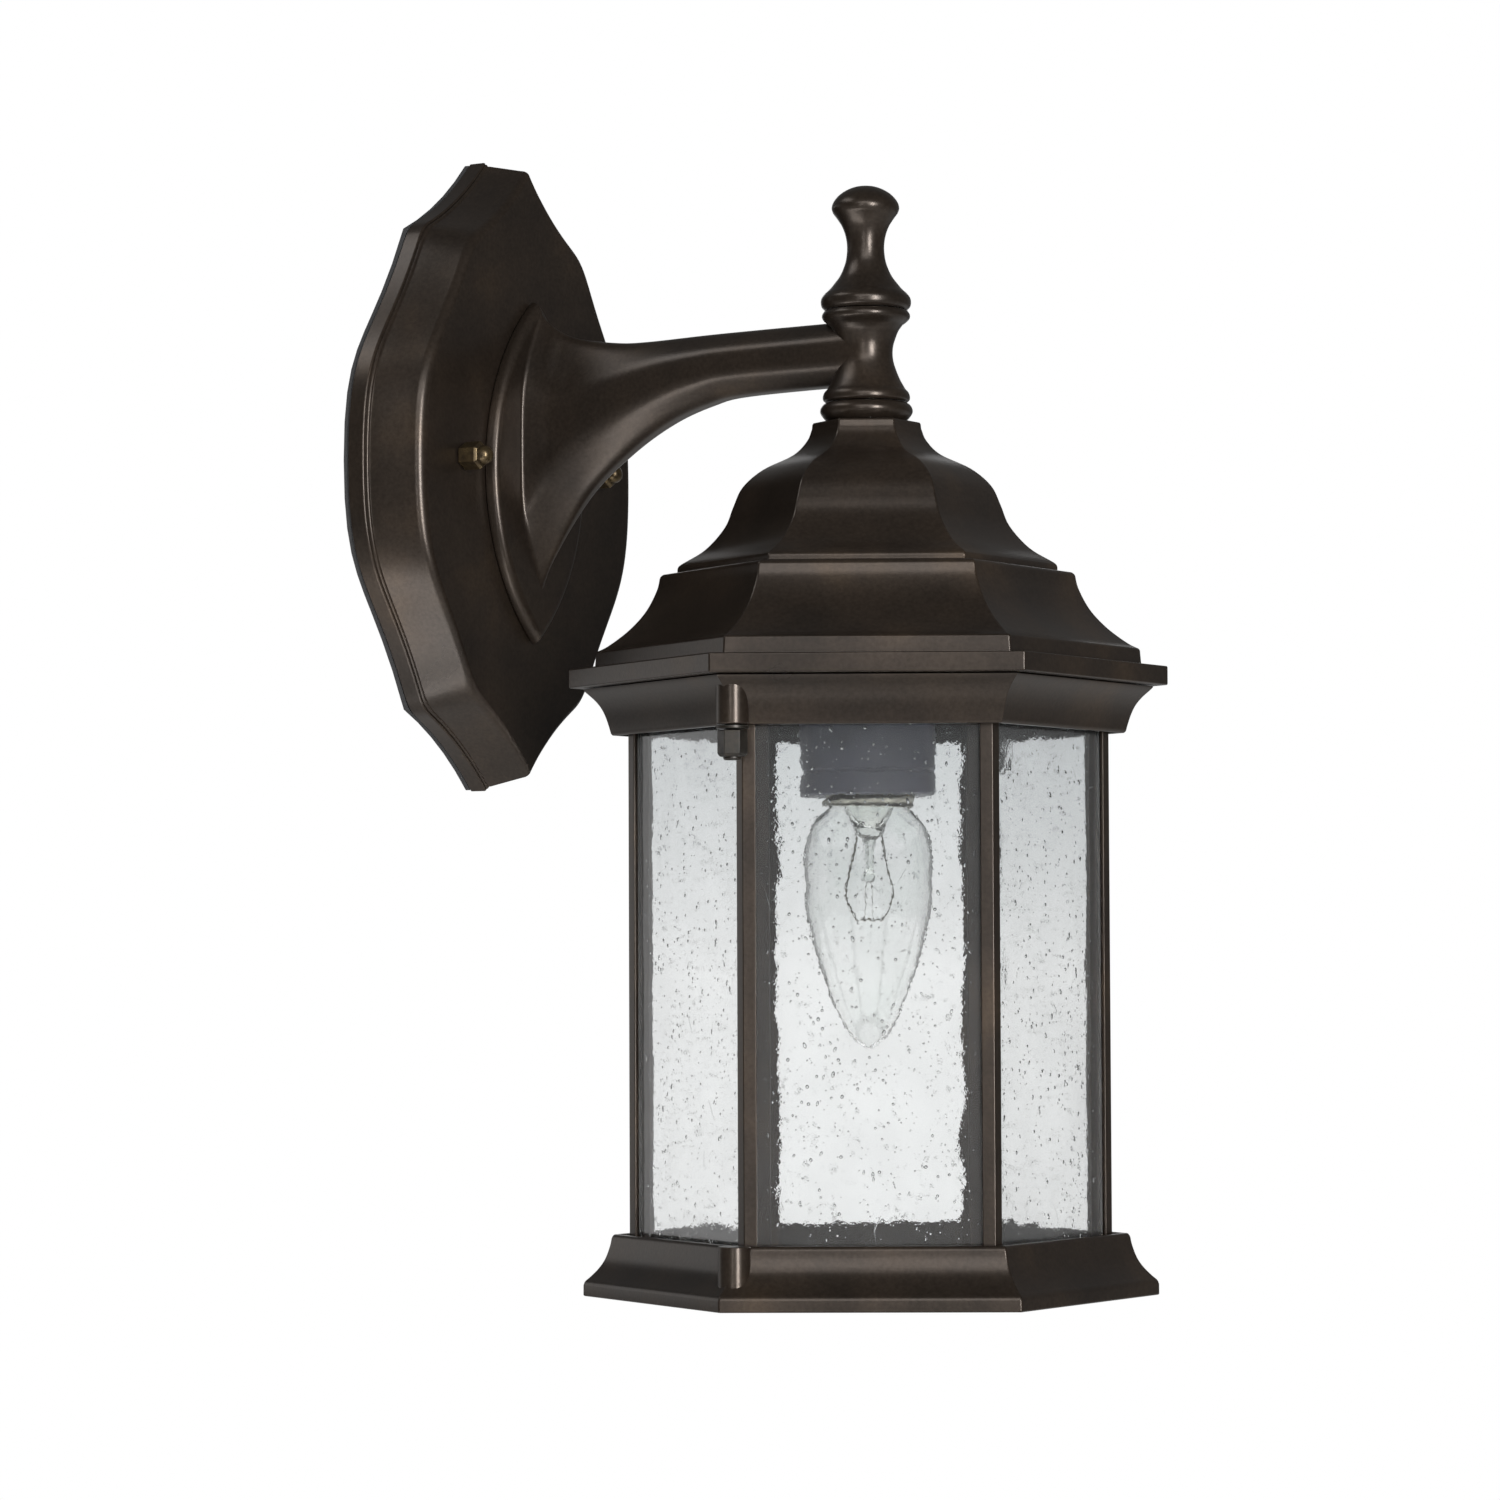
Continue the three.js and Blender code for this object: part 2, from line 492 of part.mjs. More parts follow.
// Corner post: an outer V, a core between the panes, and a wider inner V behind them.
const FLANGE_T = 1;
const FLANGE_OUT = 3.5;             // outer flange, corner to edge
const FLANGE_IN = 7;                // inner flange, outside corner to edge
const a0 = POST_R * COS30;
const s0 = POST_R / 2;
const a1 = a0 - FLANGE_T;
const a2 = a1 - GLASS_T - 2 * GAP;
const a3 = a2 - FLANGE_T;
const coreS = s0 - FLANGE_OUT + 0.85;
const halfPost = [[a0, s0 - FLANGE_OUT], [a1, s0 - FLANGE_OUT], [a1, coreS], [a2, coreS],
  [a2, s0 - FLANGE_IN], [a3, s0 - FLANGE_IN]];
const onFace = (a, s, turnBy) => {
  const n = turnBy;
  return [a * Math.cos(n) - s * Math.sin(n), a * Math.sin(n) + s * Math.cos(n)];
};
const below = halfPost.map(([a, s]) => onFace(a, s, -Math.PI / 6));
const above = halfPost.map(([a, s]) => onFace(a, -s, Math.PI / 6)).reverse();
const postPoly = [[POST_R, 0], ...below, [a3 / COS30, 0], ...above].reverse();
const POST_TOP = SKIRT_TOP - 3.4 - GAP;
const POST_BOT = BASE_LEDGE + GAP;
const postG = prism(postPoly, POST_BOT, POST_TOP);
const paneHalf = coreS - GAP;
const paneA = a1 - GAP - GLASS_T / 2;
for (let k = 0; k < 6; k += 1) {
  add(`post_${k + 1}`, onAxis(postG.clone().rotateZ((k * Math.PI) / 3)), bronze());
}
for (let k = 0; k < 6; k += 1) {
  const pane = new THREE.BoxGeometry(GLASS_T, 2 * paneHalf, POST_TOP - POST_BOT)
    .translate(paneA, 0, (POST_TOP + POST_BOT) / 2)
    .rotateZ(Math.PI / 6 + (k * Math.PI) / 3);
  add(`pane_${k + 1}`, onAxis(pane), clear('seeded_glass'));
}

const CAGE_NUT = capNut(6.2, 1.8).rotateX(Math.PI);
const cageWasher = tube(4.35, STUD_BORE, WASHER_Z - 0.9, WASHER_Z);
for (const [side, a] of sides) {
  const x = BOSS_AT * Math.cos(a);
  add(`cage_washer_${side}`, put(cageWasher, x, -REACH, 0), nutPaint());
  add(`cage_nut_${side}`, put(CAGE_NUT, x, -REACH, NUT_Z), nutPaint());
}

// ---- socket and bulb -------------------------------------------------------------------------
const SHELL_OUT = BULB_CAP_R + GAP + 0.6;
const CUP_R = SHELL_OUT + GAP;
const CUP_TOP = SOCKET_BOT + 29;
const LEAD_X = 1.35;
const socket = cut(
  turn([
    [0, SOCKET_TOP], [12.4, SOCKET_TOP], [14.6, SOCKET_TOP - 1.4], [SOCKET_R - 1.6, SOCKET_TOP - 7],
    [SOCKET_R, SOCKET_TOP - 9], [SOCKET_R, SOCKET_BOT + 0.8], [SOCKET_R - 0.8, SOCKET_BOT],
    [CUP_R, SOCKET_BOT], [CUP_R, CUP_TOP], [0, CUP_TOP],
  ], 28),
  rod(BORE_R, SOCKET_TOP - 8, SOCKET_TOP + 1),
  put(rod(LEAD_R + GAP, CUP_TOP - 1, SOCKET_TOP - 7, 14), LEAD_X, 0, 0),
  put(rod(LEAD_R + GAP, CUP_TOP - 1, SOCKET_TOP - 7, 14), -LEAD_X, 0, 0),
);
add('socket', onAxis(socket), mat('phenolic', 0x3c3d45, 0, 0.45));
const shellTop = CUP_TOP - 2;
add('screw_shell', onAxis(tube(SHELL_OUT, BULB_CAP_R + GAP, SOCKET_BOT + 1.5, shellTop)), brass());
const CONTACT_Z = CUP_TOP - GAP;
add('socket_contact', onAxis(turn([
  [0, CONTACT_Z], [5, CONTACT_Z], [5, CONTACT_Z - 0.8], [2.4, CONTACT_Z - 1.6],
  [0, CONTACT_Z - 1.8],
], 20)), brass());

const CAP_BOT = SOCKET_BOT - 3;
const CAP_TOP = CONTACT_Z - 4.4;
const cap = [[BULB_CAP_R - 0.4, CAP_BOT]];
for (let i = 0; i < 6; i += 1) {
  cap.push([BULB_CAP_R, CAP_BOT + 1.6 + i * 3.2], [BULB_CAP_R - 0.7, CAP_BOT + 3.2 + i * 3.2]);
}
cap.push([9, CAP_TOP - 1.2], [5.4, CAP_TOP]);
add('bulb_cap', onAxis(turn([...cap, [5.4, CAP_TOP - 1], [8.4, CAP_TOP - 2.2],
  [BULB_CAP_R - 1.4, CAP_TOP - 6], [BULB_CAP_R - 1.4, CAP_BOT]], 24, true)), brass());
add('bulb_contact', onAxis(turn([
  [0, CAP_TOP + 2.1], [2.6, CAP_TOP + 1.9], [4.4, CAP_TOP + 1.2], [5, CAP_TOP - 0.3],
  [5, CAP_TOP - 1.4], [0, CAP_TOP - 1.4],
], 20)), mat('solder_contact', 0xa8a9aa, 0.8, 0.4));

const neckR = BULB_CAP_R - 1.4 - GAP;
const OUTER = smooth([[neckR, CAP_BOT - 0.2], [14.4, -102.4], [16.2, -105.6], [17.3, -111],
  [BULB_R, -117], [17.5, -124], [16.5, -132], [14.2, -141], [11.3, -149.4], [7.9, -157.6],
  [4.4, -163], [1.4, BULB_TIP_Z + 0.4]], 12);
const WALL = 0.8;
const envelope = [
  [neckR, CAP_BOT + 6], ...OUTER, [0, BULB_TIP_Z], [0, BULB_TIP_Z + 1.6],
  ...OUTER.slice().reverse().map(([r, z]) => [Math.max(r - WALL, 0.5), z + (r < 9 ? 0.9 : 0.1)]),
  [neckR - WALL, CAP_BOT + 6],
];
// The envelope is open at the neck, where the stem closes it.
const envRings = envelope.map(([r, z]) => [Math.max(r, 0), z]);
const half = envRings.findIndex(([r]) => r === 0);
const outerHalf = envRings.slice(0, half).reverse();
const innerHalf = envRings.slice(half + 2).reverse();
add('bulb_glass', onAxis(turn([
  [0, BULB_TIP_Z], ...outerHalf, ...innerHalf, [0, BULB_TIP_Z + 1.6],
], 28)), clear('bulb_glass'));
add('bulb_stem', onAxis(turn([
  [0, CAP_BOT + 5], [8.4, CAP_BOT + 5], [8.4, CAP_BOT + 1], [6.6, -102], [4.6, -106.5], [1.8, -108.5],
  [1.4, -114], [2.2, -116], [1.6, -118], [0, -118.6],
], 20)), clear('stem_glass'));
const wireFrame = path3([[-1, -110.5], [-3.2, -112.2], [-5.5, -121], [-4.6, -129], [0, -132.4],
  [4.6, -129], [5.5, -121], [3.2, -112.2], [1, -110.5]].map(([x, z]) =>
  new THREE.Vector3(x + Math.sign(x) * 1.2, -REACH, z)));
add('filament', pipeAlong(wireFrame, 0.22, 26, 5), mat('tungsten', 0x77736b, 0.8, 0.5));

// ---- leads -----------------------------------------------------------------------------------
const leadStart = [[7, -5.5, 8], [1.5, -9, 4], [0, -PIPE_IN, LEAD_X]];
const bend = [[ARM_MID - 0.3, -REACH + 6], [ARM_MID - 1.4, -REACH + 2.2],
  [ARM_MID - 4.4, -REACH + 0.4], [ARM_MID - 9.2, -REACH], [-10, -REACH],
  [SOCKET_TOP - 4, -REACH]];
const leadEnd = CUP_TOP + GAP;
for (const [name, s, color] of [['lead_hot', 1, 0x1a1a1a], ['lead_neutral', -1, 0xe4e2dc]]) {
  const pts = [];
  for (const [z, y, x] of leadStart) pts.push(new THREE.Vector3(s * x, y, z));
  for (const [z, y] of ROUTE.slice(1)) pts.push(new THREE.Vector3(s * LEAD_X, y, z));
  for (const [z, y] of bend) pts.push(new THREE.Vector3(s * LEAD_X, y, z));
  pts.push(new THREE.Vector3(s * LEAD_X, -REACH, leadEnd));
  add(name, pipeAlong(path3(pts), LEAD_R, 64, 6), mat(name, color, 0, 0.6));
}
const groundPts = [[GROUND_X + 4.8, -5.2, STUD_Z], [GROUND_X + 3, -7, STUD_Z + 5],
  [GROUND_X + 4, -9, STUD_Z + 16], [GROUND_X - 6, -11, STUD_Z + 26], [-6, -12, STUD_Z + 24],
  [-14, -11, STUD_Z + 16]].map((p) => new THREE.Vector3(...p));
add('lead_ground', pipeAlong(path3(groundPts), LEAD_R, 24, 6), mat('lead_ground', 0x2f6b3a, 0, 0.6));

export default group;
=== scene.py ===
# %% [markdown]
# # An outdoor wall lantern
# This lesson finishes a wall lantern for the eye. The engineering model comes in as a fixed
# frame, in metres, with the wall at Y = 0 and the lantern standing out along -Y. Every piece
# that shows is then rebuilt with finer shape: rounded casting edges, turned rings, wavy seeded
# glass and a clear lamp. Each new piece rides on the body that moves it.

import math
import random

import bmesh
import bpy
from mathutils import Matrix, Vector, noise


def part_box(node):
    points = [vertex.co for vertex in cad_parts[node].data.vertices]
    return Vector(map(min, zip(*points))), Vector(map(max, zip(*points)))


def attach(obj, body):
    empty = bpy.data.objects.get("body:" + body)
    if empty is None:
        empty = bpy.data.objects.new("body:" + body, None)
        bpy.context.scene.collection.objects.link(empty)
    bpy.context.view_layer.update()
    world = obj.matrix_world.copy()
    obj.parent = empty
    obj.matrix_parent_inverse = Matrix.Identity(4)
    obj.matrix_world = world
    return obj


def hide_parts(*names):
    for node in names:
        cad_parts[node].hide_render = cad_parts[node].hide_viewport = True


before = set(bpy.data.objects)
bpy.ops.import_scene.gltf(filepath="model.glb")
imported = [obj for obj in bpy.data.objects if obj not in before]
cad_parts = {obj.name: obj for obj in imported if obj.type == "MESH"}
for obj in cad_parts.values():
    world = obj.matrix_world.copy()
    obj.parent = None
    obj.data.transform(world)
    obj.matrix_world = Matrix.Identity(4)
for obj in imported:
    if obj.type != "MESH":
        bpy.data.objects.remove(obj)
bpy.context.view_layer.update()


# %% [markdown]
# All sizes below are in millimetres, because that is how such a lantern is drawn. One helper
# turns them to metres. Positions that the frame already knows are read from its nodes.

# %% Sizes read from the frame
MM = 0.001


def span(node):
    low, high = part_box(node)
    return [v / MM for v in low], [v / MM for v in high]


def heights(node):
    low, high = span(node)
    return low[2], high[2]


roof_low, roof_high = span("roof")
plate_low, plate_high = span("backplate")
REACH = -(roof_low[1] + roof_high[1]) / 2
ROOF_R = roof_high[0]
FASCIA_BOT = roof_low[2]
SKIRT_BOT, SKIRT_TOP = heights("skirt")
BASE_BOT, BASE_TOP = heights("base")
PLATE_FRONT, PLATE_BACK = plate_low[1], plate_high[1]
AXIS = Vector((0, -REACH, 0))
print("axis stands %.1f mm from the wall, roof corners at %.1f mm" % (REACH, ROOF_R))


# %% [markdown]
# The camera stands on the lantern's left and a little below its middle, looking slightly up,
# with a long lens so that the six sides stay nearly parallel. The turn, tilt and roll are kept
# as angles. It is made first so that everything else can be looked at as it is built.

# %% Camera
CAMERA_TURN, CAMERA_TILT, CAMERA_ROLL = -58.47, -2.48, -0.232
CAMERA_AWAY, CAMERA_SIDE, CAMERA_LEVEL = 1374.3, -32.7, -83.0
LENS, SENSOR = 119.184, 36


def aim_camera():
    turn_by, tilt = math.radians(CAMERA_TURN), math.radians(CAMERA_TILT)
    back = Vector((math.sin(turn_by) * math.cos(tilt), -math.cos(turn_by) * math.cos(tilt),
                   math.sin(tilt)))
    right = (-back).cross(Vector((0, 0, 1))).normalized()
    up = right.cross(-back)
    roll = math.radians(CAMERA_ROLL)
    side = right * math.cos(roll) + up * math.sin(roll)
    top = up * math.cos(roll) - right * math.sin(roll)
    place = AXIS + Vector((0, 0, CAMERA_LEVEL)) + right * CAMERA_SIDE + back * CAMERA_AWAY
    data = bpy.data.cameras.new("camera")
    data.lens, data.sensor_width, data.clip_end = LENS, SENSOR, 50
    camera = bpy.data.objects.new("camera", data)
    camera.matrix_world = Matrix.Translation(place * MM) @ Matrix(
        (side, top, back)).transposed().to_4x4()
    bpy.context.scene.collection.objects.link(camera)
    bpy.context.scene.camera = camera
    return camera


camera = aim_camera()
print("camera at", [round(v, 3) for v in camera.matrix_world.translation])


# %% [markdown]
# Every mesh below goes through the same few steps. A profile of radius and height is spun into
# a turned piece: 96 steps make it round, and 6 steps make it six-sided, which is all that a
# hexagonal casting is. Sharp corners are rounded by the bevel operator, because no cast or
# turned edge is truly sharp, and that thin rounded edge is what catches the light.

# %% Helpers for shape
AXIS_Z = Vector((0, 0, 1))
ROUND = 96


def smooth_row(points, count):
    """A soft row of points through a few, by Catmull-Rom."""
    rows = [Vector(p) for p in points]
    rows = [rows[0] * 2 - rows[1]] + rows + [rows[-1] * 2 - rows[-2]]
    out = []
    spans = len(rows) - 3
    for i in range(count + 1):
        t = i / count * spans
        k = min(int(t), spans - 1)
        t -= k
        a, b, c, d = rows[k:k + 4]
        out.append(0.5 * ((2 * b) + (c - a) * t + (2 * a - 5 * b + 4 * c - d) * t * t
                          + (3 * b - a - 3 * c + d) * t ** 3))
    return [tuple(p) for p in out]


def spun(profile, steps, closed=False):
    """Spins a profile of (radius, height) in millimetres about the Z axis."""
    shape = bmesh.new()
    dots = [shape.verts.new((r * MM, 0, z * MM)) for r, z in profile]
    for a, b in zip(dots, dots[1:]):
        shape.edges.new((a, b))
    if closed:
        shape.edges.new((dots[-1], dots[0]))
    bmesh.ops.spin(shape, geom=shape.verts[:] + shape.edges[:], cent=(0, 0, 0), axis=AXIS_Z,
                   angle=math.tau, steps=steps, use_merge=True)
    bmesh.ops.remove_doubles(shape, verts=shape.verts, dist=1e-6)
    bmesh.ops.recalc_face_normals(shape, faces=shape.faces)
    return shape


def round_edges(shape, width, turns, segments=3):
    """Bevels every edge whose two faces turn by more than turns(edge) degrees."""
    edges = [e for e in shape.edges if len(e.link_faces) == 2
             and e.calc_face_angle(0) > math.radians(turns(e))]
    bmesh.ops.bevel(shape, geom=edges, offset=width * MM, offset_type="OFFSET",
                    segments=segments, profile=0.5, affect="EDGES", clamp_overlap=True,
                    material=-1)
    bmesh.ops.remove_doubles(shape, verts=shape.verts, dist=2e-6)
    return shape


def moved(shape, x=0, y=0, z=0):
    bmesh.ops.translate(shape, verts=shape.verts, vec=(x * MM, y * MM, z * MM))
    return shape


def on_axis(shape, x=0):
    """Puts a shape made about Z on the lantern's axis, or beside it."""
    return moved(shape, x, -REACH, 0)


def turned_by(shape, degrees, axis="Z"):
    bmesh.ops.rotate(shape, verts=shape.verts, cent=(0, 0, 0),
                     matrix=Matrix.Rotation(math.radians(degrees), 3, axis))
    return shape


def rod(radius, low, high, steps):
    """A plain round rod about Z, to join on or to cut a hole with."""
    return spun([(0, low), (radius, low), (radius, high), (0, high)], steps)


def add_shape(shape, more):
    """Adds a second shape to the first as it stands."""
    data = bpy.data.meshes.new("more")
    more.to_mesh(data)
    more.free()
    shape.from_mesh(data)
    bpy.data.meshes.remove(data)
    return shape


CORNER = 32


def mark_corners(shape, sharp):
    """Shades every face softly and breaks the shading only at real corners."""
    for face in shape.faces:
        face.smooth = True
    for edge in shape.edges:
        edge.smooth = edge.calc_face_angle(0) < math.radians(sharp)


def made(name, shape, sharp=CORNER):
    """Turns a bmesh into an object."""
    mark_corners(shape, sharp)
    data = bpy.data.meshes.new(name)
    shape.to_mesh(data)
    shape.free()
    piece = bpy.data.objects.new(name, data)
    bpy.context.scene.collection.objects.link(piece)
    return piece


def combined(piece, tool_shape, how):
    """Joins a second solid to a piece, or cuts it away, and keeps the result as plain mesh."""
    tool = made("tool", tool_shape)
    step = piece.modifiers.new("solid", "BOOLEAN")
    step.operation, step.solver, step.object = how, "EXACT", tool
    graph = bpy.context.evaluated_depsgraph_get()
    data = bpy.data.meshes.new_from_object(piece.evaluated_get(graph))
    piece.modifiers.clear()
    old, piece.data = piece.data, data
    bpy.data.meshes.remove(old)
    bpy.data.objects.remove(tool, do_unlink=True)
    shape = bmesh.new()
    shape.from_mesh(data)
    mark_corners(shape, CORNER)
    shape.to_mesh(data)
    shape.free()
    return piece


def evened(piece):
    """Lets the large faces set the shading, so that a small rounded edge takes all the turn."""
    step = piece.modifiers.new("even_shade", "WEIGHTED_NORMAL")
    step.keep_sharp = True
    return piece


CLEAR = []      # the glass materials, whose pieces keep their own shading


def settle(piece, body, material, nodes=()):
    """Gives a finished piece its material, its body and the nodes it stands for."""
    piece.data.materials.clear()
    piece.data.materials.append(material)
    if material not in CLEAR:
        evened(piece)
    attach(piece, body)
    if nodes:
        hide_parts(*nodes)
    print("%-18s %6d faces on %s" % (piece.name, len(piece.data.polygons), body))
    return piece


# %% [markdown]
# Materials are node trees. One small function adds a node with its settings and links, and one
# turns an sRGB hex colour into the linear numbers that the shader wants. A pattern's scale is
# worked out from a real size: a noise texture on object coordinates has features about as wide
# as one over its scale, in metres.

# %% Helpers for materials
def colour(code):
    parts = [int(code[i:i + 2], 16) / 255 for i in (0, 2, 4)]
    return [p / 12.92 if p <= 0.04045 else ((p + 0.055) / 1.055) ** 2.4 for p in parts] + [1]


def add_node(tree, kind, inputs=None, **settings):
    made_node = tree.nodes.new(kind)
    for key, value in settings.items():
        setattr(made_node, key, value)
    for key, value in (inputs or {}).items():
        if isinstance(value, bpy.types.NodeSocket):
            tree.links.new(value, made_node.inputs[key])
        else:
            made_node.inputs[key].default_value = value
    return made_node


def start_material(name):
    material = bpy.data.materials.new(name)
    material.use_nodes = True
    tree = material.node_tree
    tree.nodes.clear()
    place = add_node(tree, "ShaderNodeTexCoord").outputs["Object"]
    return material, tree, place


def end_material(material, tree, look):
    shader = add_node(tree, "ShaderNodeBsdfPrincipled", look)
    add_node(tree, "ShaderNodeOutputMaterial", {"Surface": shader.outputs["BSDF"]})
    return material


def clouds(tree, place, size_mm, detail=2, rough=0.5):
    """A noise whose features are about as wide as a size in millimetres."""
    return add_node(tree, "ShaderNodeTexNoise", {"Vector": place, "Scale": 1 / (size_mm * MM),
                    "Detail": detail, "Roughness": rough}).outputs["Fac"]


def relief(tree, height, strength, depth_mm):
    return add_node(tree, "ShaderNodeBump", {"Height": height, "Strength": strength,
                    "Distance": depth_mm * MM}).outputs["Normal"]


def spread_over(tree, value, low, high, first, last):
    """Carries a value from the range low to high over to the range first to last."""
    return add_node(tree, "ShaderNodeMapRange", {"Value": value, "From Min": low, "From Max": high,
                    "To Min": first, "To Max": last}).outputs["Result"]


def multiplied(tree, one, other):
    return add_node(tree, "ShaderNodeMix", {0: 1.0, 6: one, 7: other}, data_type="RGBA",
                    blend_type="MULTIPLY").outputs[2]


def ramp(tree, value, stops):
    """A colour ramp from (position, hex) stops."""
    chosen = add_node(tree, "ShaderNodeValToRGB", {"Fac": value})
    band = chosen.color_ramp
    while len(band.elements) < len(stops):
        band.elements.new(0.5)
    for element, (place, code) in zip(band.elements, stops):
        element.position, element.color = place, colour(code)
    return chosen.outputs["Color"]


# %% [markdown]
# Powder-coated cast aluminium. The castings are sprayed with a dark bronze powder that is baked
# until it flows, which leaves a satin skin with a very fine orange peel and a brown cast that
# varies a little from place to place. It looks almost black head on and warm grey at a slant.

# %% Dark bronze powder coat
def powder_coat_bronze():
    material, tree, place = start_material("powder_coat_bronze")
    drift = clouds(tree, place, 28, 3, 0.55)
    grain = clouds(tree, place, 1.1, 4, 0.6)
    peel = clouds(tree, place, 0.8, 3, 0.55)
    tone = ramp(tree, drift, [(0.3, "2b2520"), (0.55, "342c25"), (0.75, "40352a")])
    fleck = ramp(tree, grain, [(0.3, "d2cecb"), (0.7, "ffffff")])
    return end_material(material, tree, {
        "Base Color": multiplied(tree, tone, fleck), "Metallic": 0.62,
        "Roughness": spread_over(tree, drift, 0.25, 0.75, 0.27, 0.33),
        "Normal": relief(tree, peel, 0.09, 0.2)})


BRONZE = powder_coat_bronze()
print("bronze coat ready")


# %% [markdown]
# The backplate is a shallow cast dish with an outline that bellies out at the sides, turns in
# at four shoulders and sweeps to an apex above and below. It is cast in one piece, so the
# whole form is one outline drawn in by degrees: a flat rim edge, two fine beads, a drafted
# side and a rounded front. The same outline carries on round the back to make the hollow.

# %% Backplate outline
PLATE_W, PLATE_H = 121, 183.4
SWEEP_SAG = 1.9


def softened(ring, times, below=math.inf):
    """Rounds a loop's corners by moving each point towards its neighbours' middle, as long as
    it lies below a height."""
    for _ in range(times):
        ring = [((a[0] + 2 * b[0] + c[0]) / 4, (a[1] + 2 * b[1] + c[1]) / 4)
                if abs(b[1]) < below else b
                for a, b, c in zip(ring[-1:] + ring[:-1], ring, ring[1:] + ring[:1])]
    return ring


def bezier(a, b, c, d, count):
    out = []
    for i in range(count):
        t = i / count
        out.append(tuple(a[k] * (1 - t) ** 3 + 3 * b[k] * t * (1 - t) ** 2
                         + 3 * c[k] * t * t * (1 - t) + d[k] * t ** 3 for k in range(2)))
    return out


def plate_outline(inset):
    """The plate's outline drawn in by an inset: a bellied side, a shoulder, a sagging sweep up
    to the apex, and the same mirrored. Its corners soften as it is drawn in."""
    w, h = PLATE_W / 2 - inset, PLATE_H / 2 - inset * 0.62
    sx, sz = PLATE_W * 0.258 - inset * 0.4, PLATE_H * 0.379 - inset * 0.65
    quarter = bezier((w, 0), (w, 0.4 * h), (sx + 0.289 * w, sz - 0.612 * w), (sx, sz), 44)
    long = math.hypot(sx, h - sz)
    for i in range(25):
        t = i / 24
        sag = SWEEP_SAG * 4 * t * (1 - t)
        quarter.append((sx * (1 - t) - (h - sz) / long * sag,
                        sz + (h - sz) * t - sx / long * sag))
    upper = quarter + [(-x, z) for x, z in quarter[-2::-1]]
    ring = upper + [(x, -z) for x, z in upper[-2:0:-1]]
    return softened(ring, 3 + int(inset), 0.93 * h)


def lofted(rings):
    """Extrudes a loop of edges through rings of points, and closes the two ends flat."""
    shape = bmesh.new()
    dots = [shape.verts.new(Vector(p) * MM) for p in rings[0]]
    edges = [shape.edges.new((a, b)) for a, b in zip(dots, dots[1:] + dots[:1])]
    first = edges
    for ring in rings[1:]:
        grown = bmesh.ops.extrude_edge_only(shape, edges=edges)["geom"]
        fresh = [g for g in grown if isinstance(g, bmesh.types.BMVert)]
        shape.verts.index_update()
        follow = {}
        for old in dots:
            for edge in old.link_edges:
                other = edge.other_vert(old)
                if other in fresh:
                    follow[old] = other
        fresh = [follow[old] for old in dots]
        for dot, p in zip(fresh, ring):
            dot.co = Vector(p) * MM
        edges = [shape.edges.get((a, b)) for a, b in zip(fresh, fresh[1:] + fresh[:1])]
        dots = fresh
    for loop in (first, edges):
        bmesh.ops.contextual_create(shape, geom=loop)
    bmesh.ops.recalc_face_normals(shape, faces=shape.faces)
    return shape


def arc(centre, radius, start, stop, count):
    """Points on an arc in the plane of a profile, with the angles in degrees."""
    return [(centre[0] + radius * math.cos(math.radians(start + (stop - start) * i / count)),
             centre[1] + radius * math.sin(math.radians(start + (stop - start) * i / count)))
            for i in range(count + 1)]


BEAD = 0.65
DRAFT_FROM, DRAFT_TO = (2.05, 7.0), (5.73, 18.07)
PLATE_STEPS = ([(0.3, 0), (0, 0.3)] + arc((BEAD, 5.4 - BEAD), BEAD, 180, 90, 6)
               + [(0.8, 5.36), (0.89, 5.25), (0.98, 5.4)]
               + arc((0.98 + BEAD, 6.2 - BEAD), BEAD, 180, 90, 6)
               + [(1.8, 6.24), (1.97, 6.5), DRAFT_FROM])
FRONT_ROUND = arc((9.1, 17.6), 3.4, 172, 90, 10)
PLATE_DEEP = PLATE_BACK - PLATE_FRONT


def plate_ring(inset, depth):
    return [(x, PLATE_BACK - depth, z) for x, z in plate_outline(inset)]


def plate_shape():
    """Rings from the floor of the hollow out to the wall, then round the rim to the front."""
    rings = [plate_ring(10.0, PLATE_DEEP - 2.5), plate_ring(6.0, PLATE_DEEP - 4.5),
             plate_ring(5.0, 0.0)]
    rings += [plate_ring(i, d) for i, d in PLATE_STEPS]
    rings += [plate_ring(*(a + (b - a) * t / 4 for a, b in zip(DRAFT_FROM, DRAFT_TO)))
              for t in range(1, 4)]
    rings += [plate_ring(i, d) for i, d in FRONT_ROUND]
    return lofted(rings)


print("plate outline has", len(plate_outline(0)), "points")


# %% [markdown]
# The plate's back is open, so the same rings run round the rim and up the inside to the floor of
# the dish. The holes are cut last, as a drill would: one for the pipe that carries the leads
# into the arm, and two for the studs that hold the lantern to the wall.

# %% Backplate
def drill(x, z, radius, y_from, y_to, steps=32):
    """A rod along Y."""
    return moved(turned_by(rod(radius, -y_from, -y_to, steps), 90, "X"), x, 0, z)


PIPE_HOLE, STUD_HOLE = 5.1, 2.2
STUD_X, STUD_Z = 33.5, 2
backplate = made("plate", plate_shape())
for x, z, radius in ((0, 0, PIPE_HOLE), (STUD_X, STUD_Z, STUD_HOLE), (-STUD_X, STUD_Z, STUD_HOLE)):
    combined(backplate, drill(x, z, radius, -10, -30), "DIFFERENCE")
settle(backplate, "bracket", BRONZE, ["backplate"])


# %% [markdown]
# The arm is one casting: a pointed oval pad that screws to the plate, an eight-sided arm that
# swells and drops where it meets the pad, and a turned hub that stands on the lantern's axis.
# The sections are lofted from root to hub, and their corners are softened as a cast ridge is.
# The pad and the hub are then joined to it as solids.

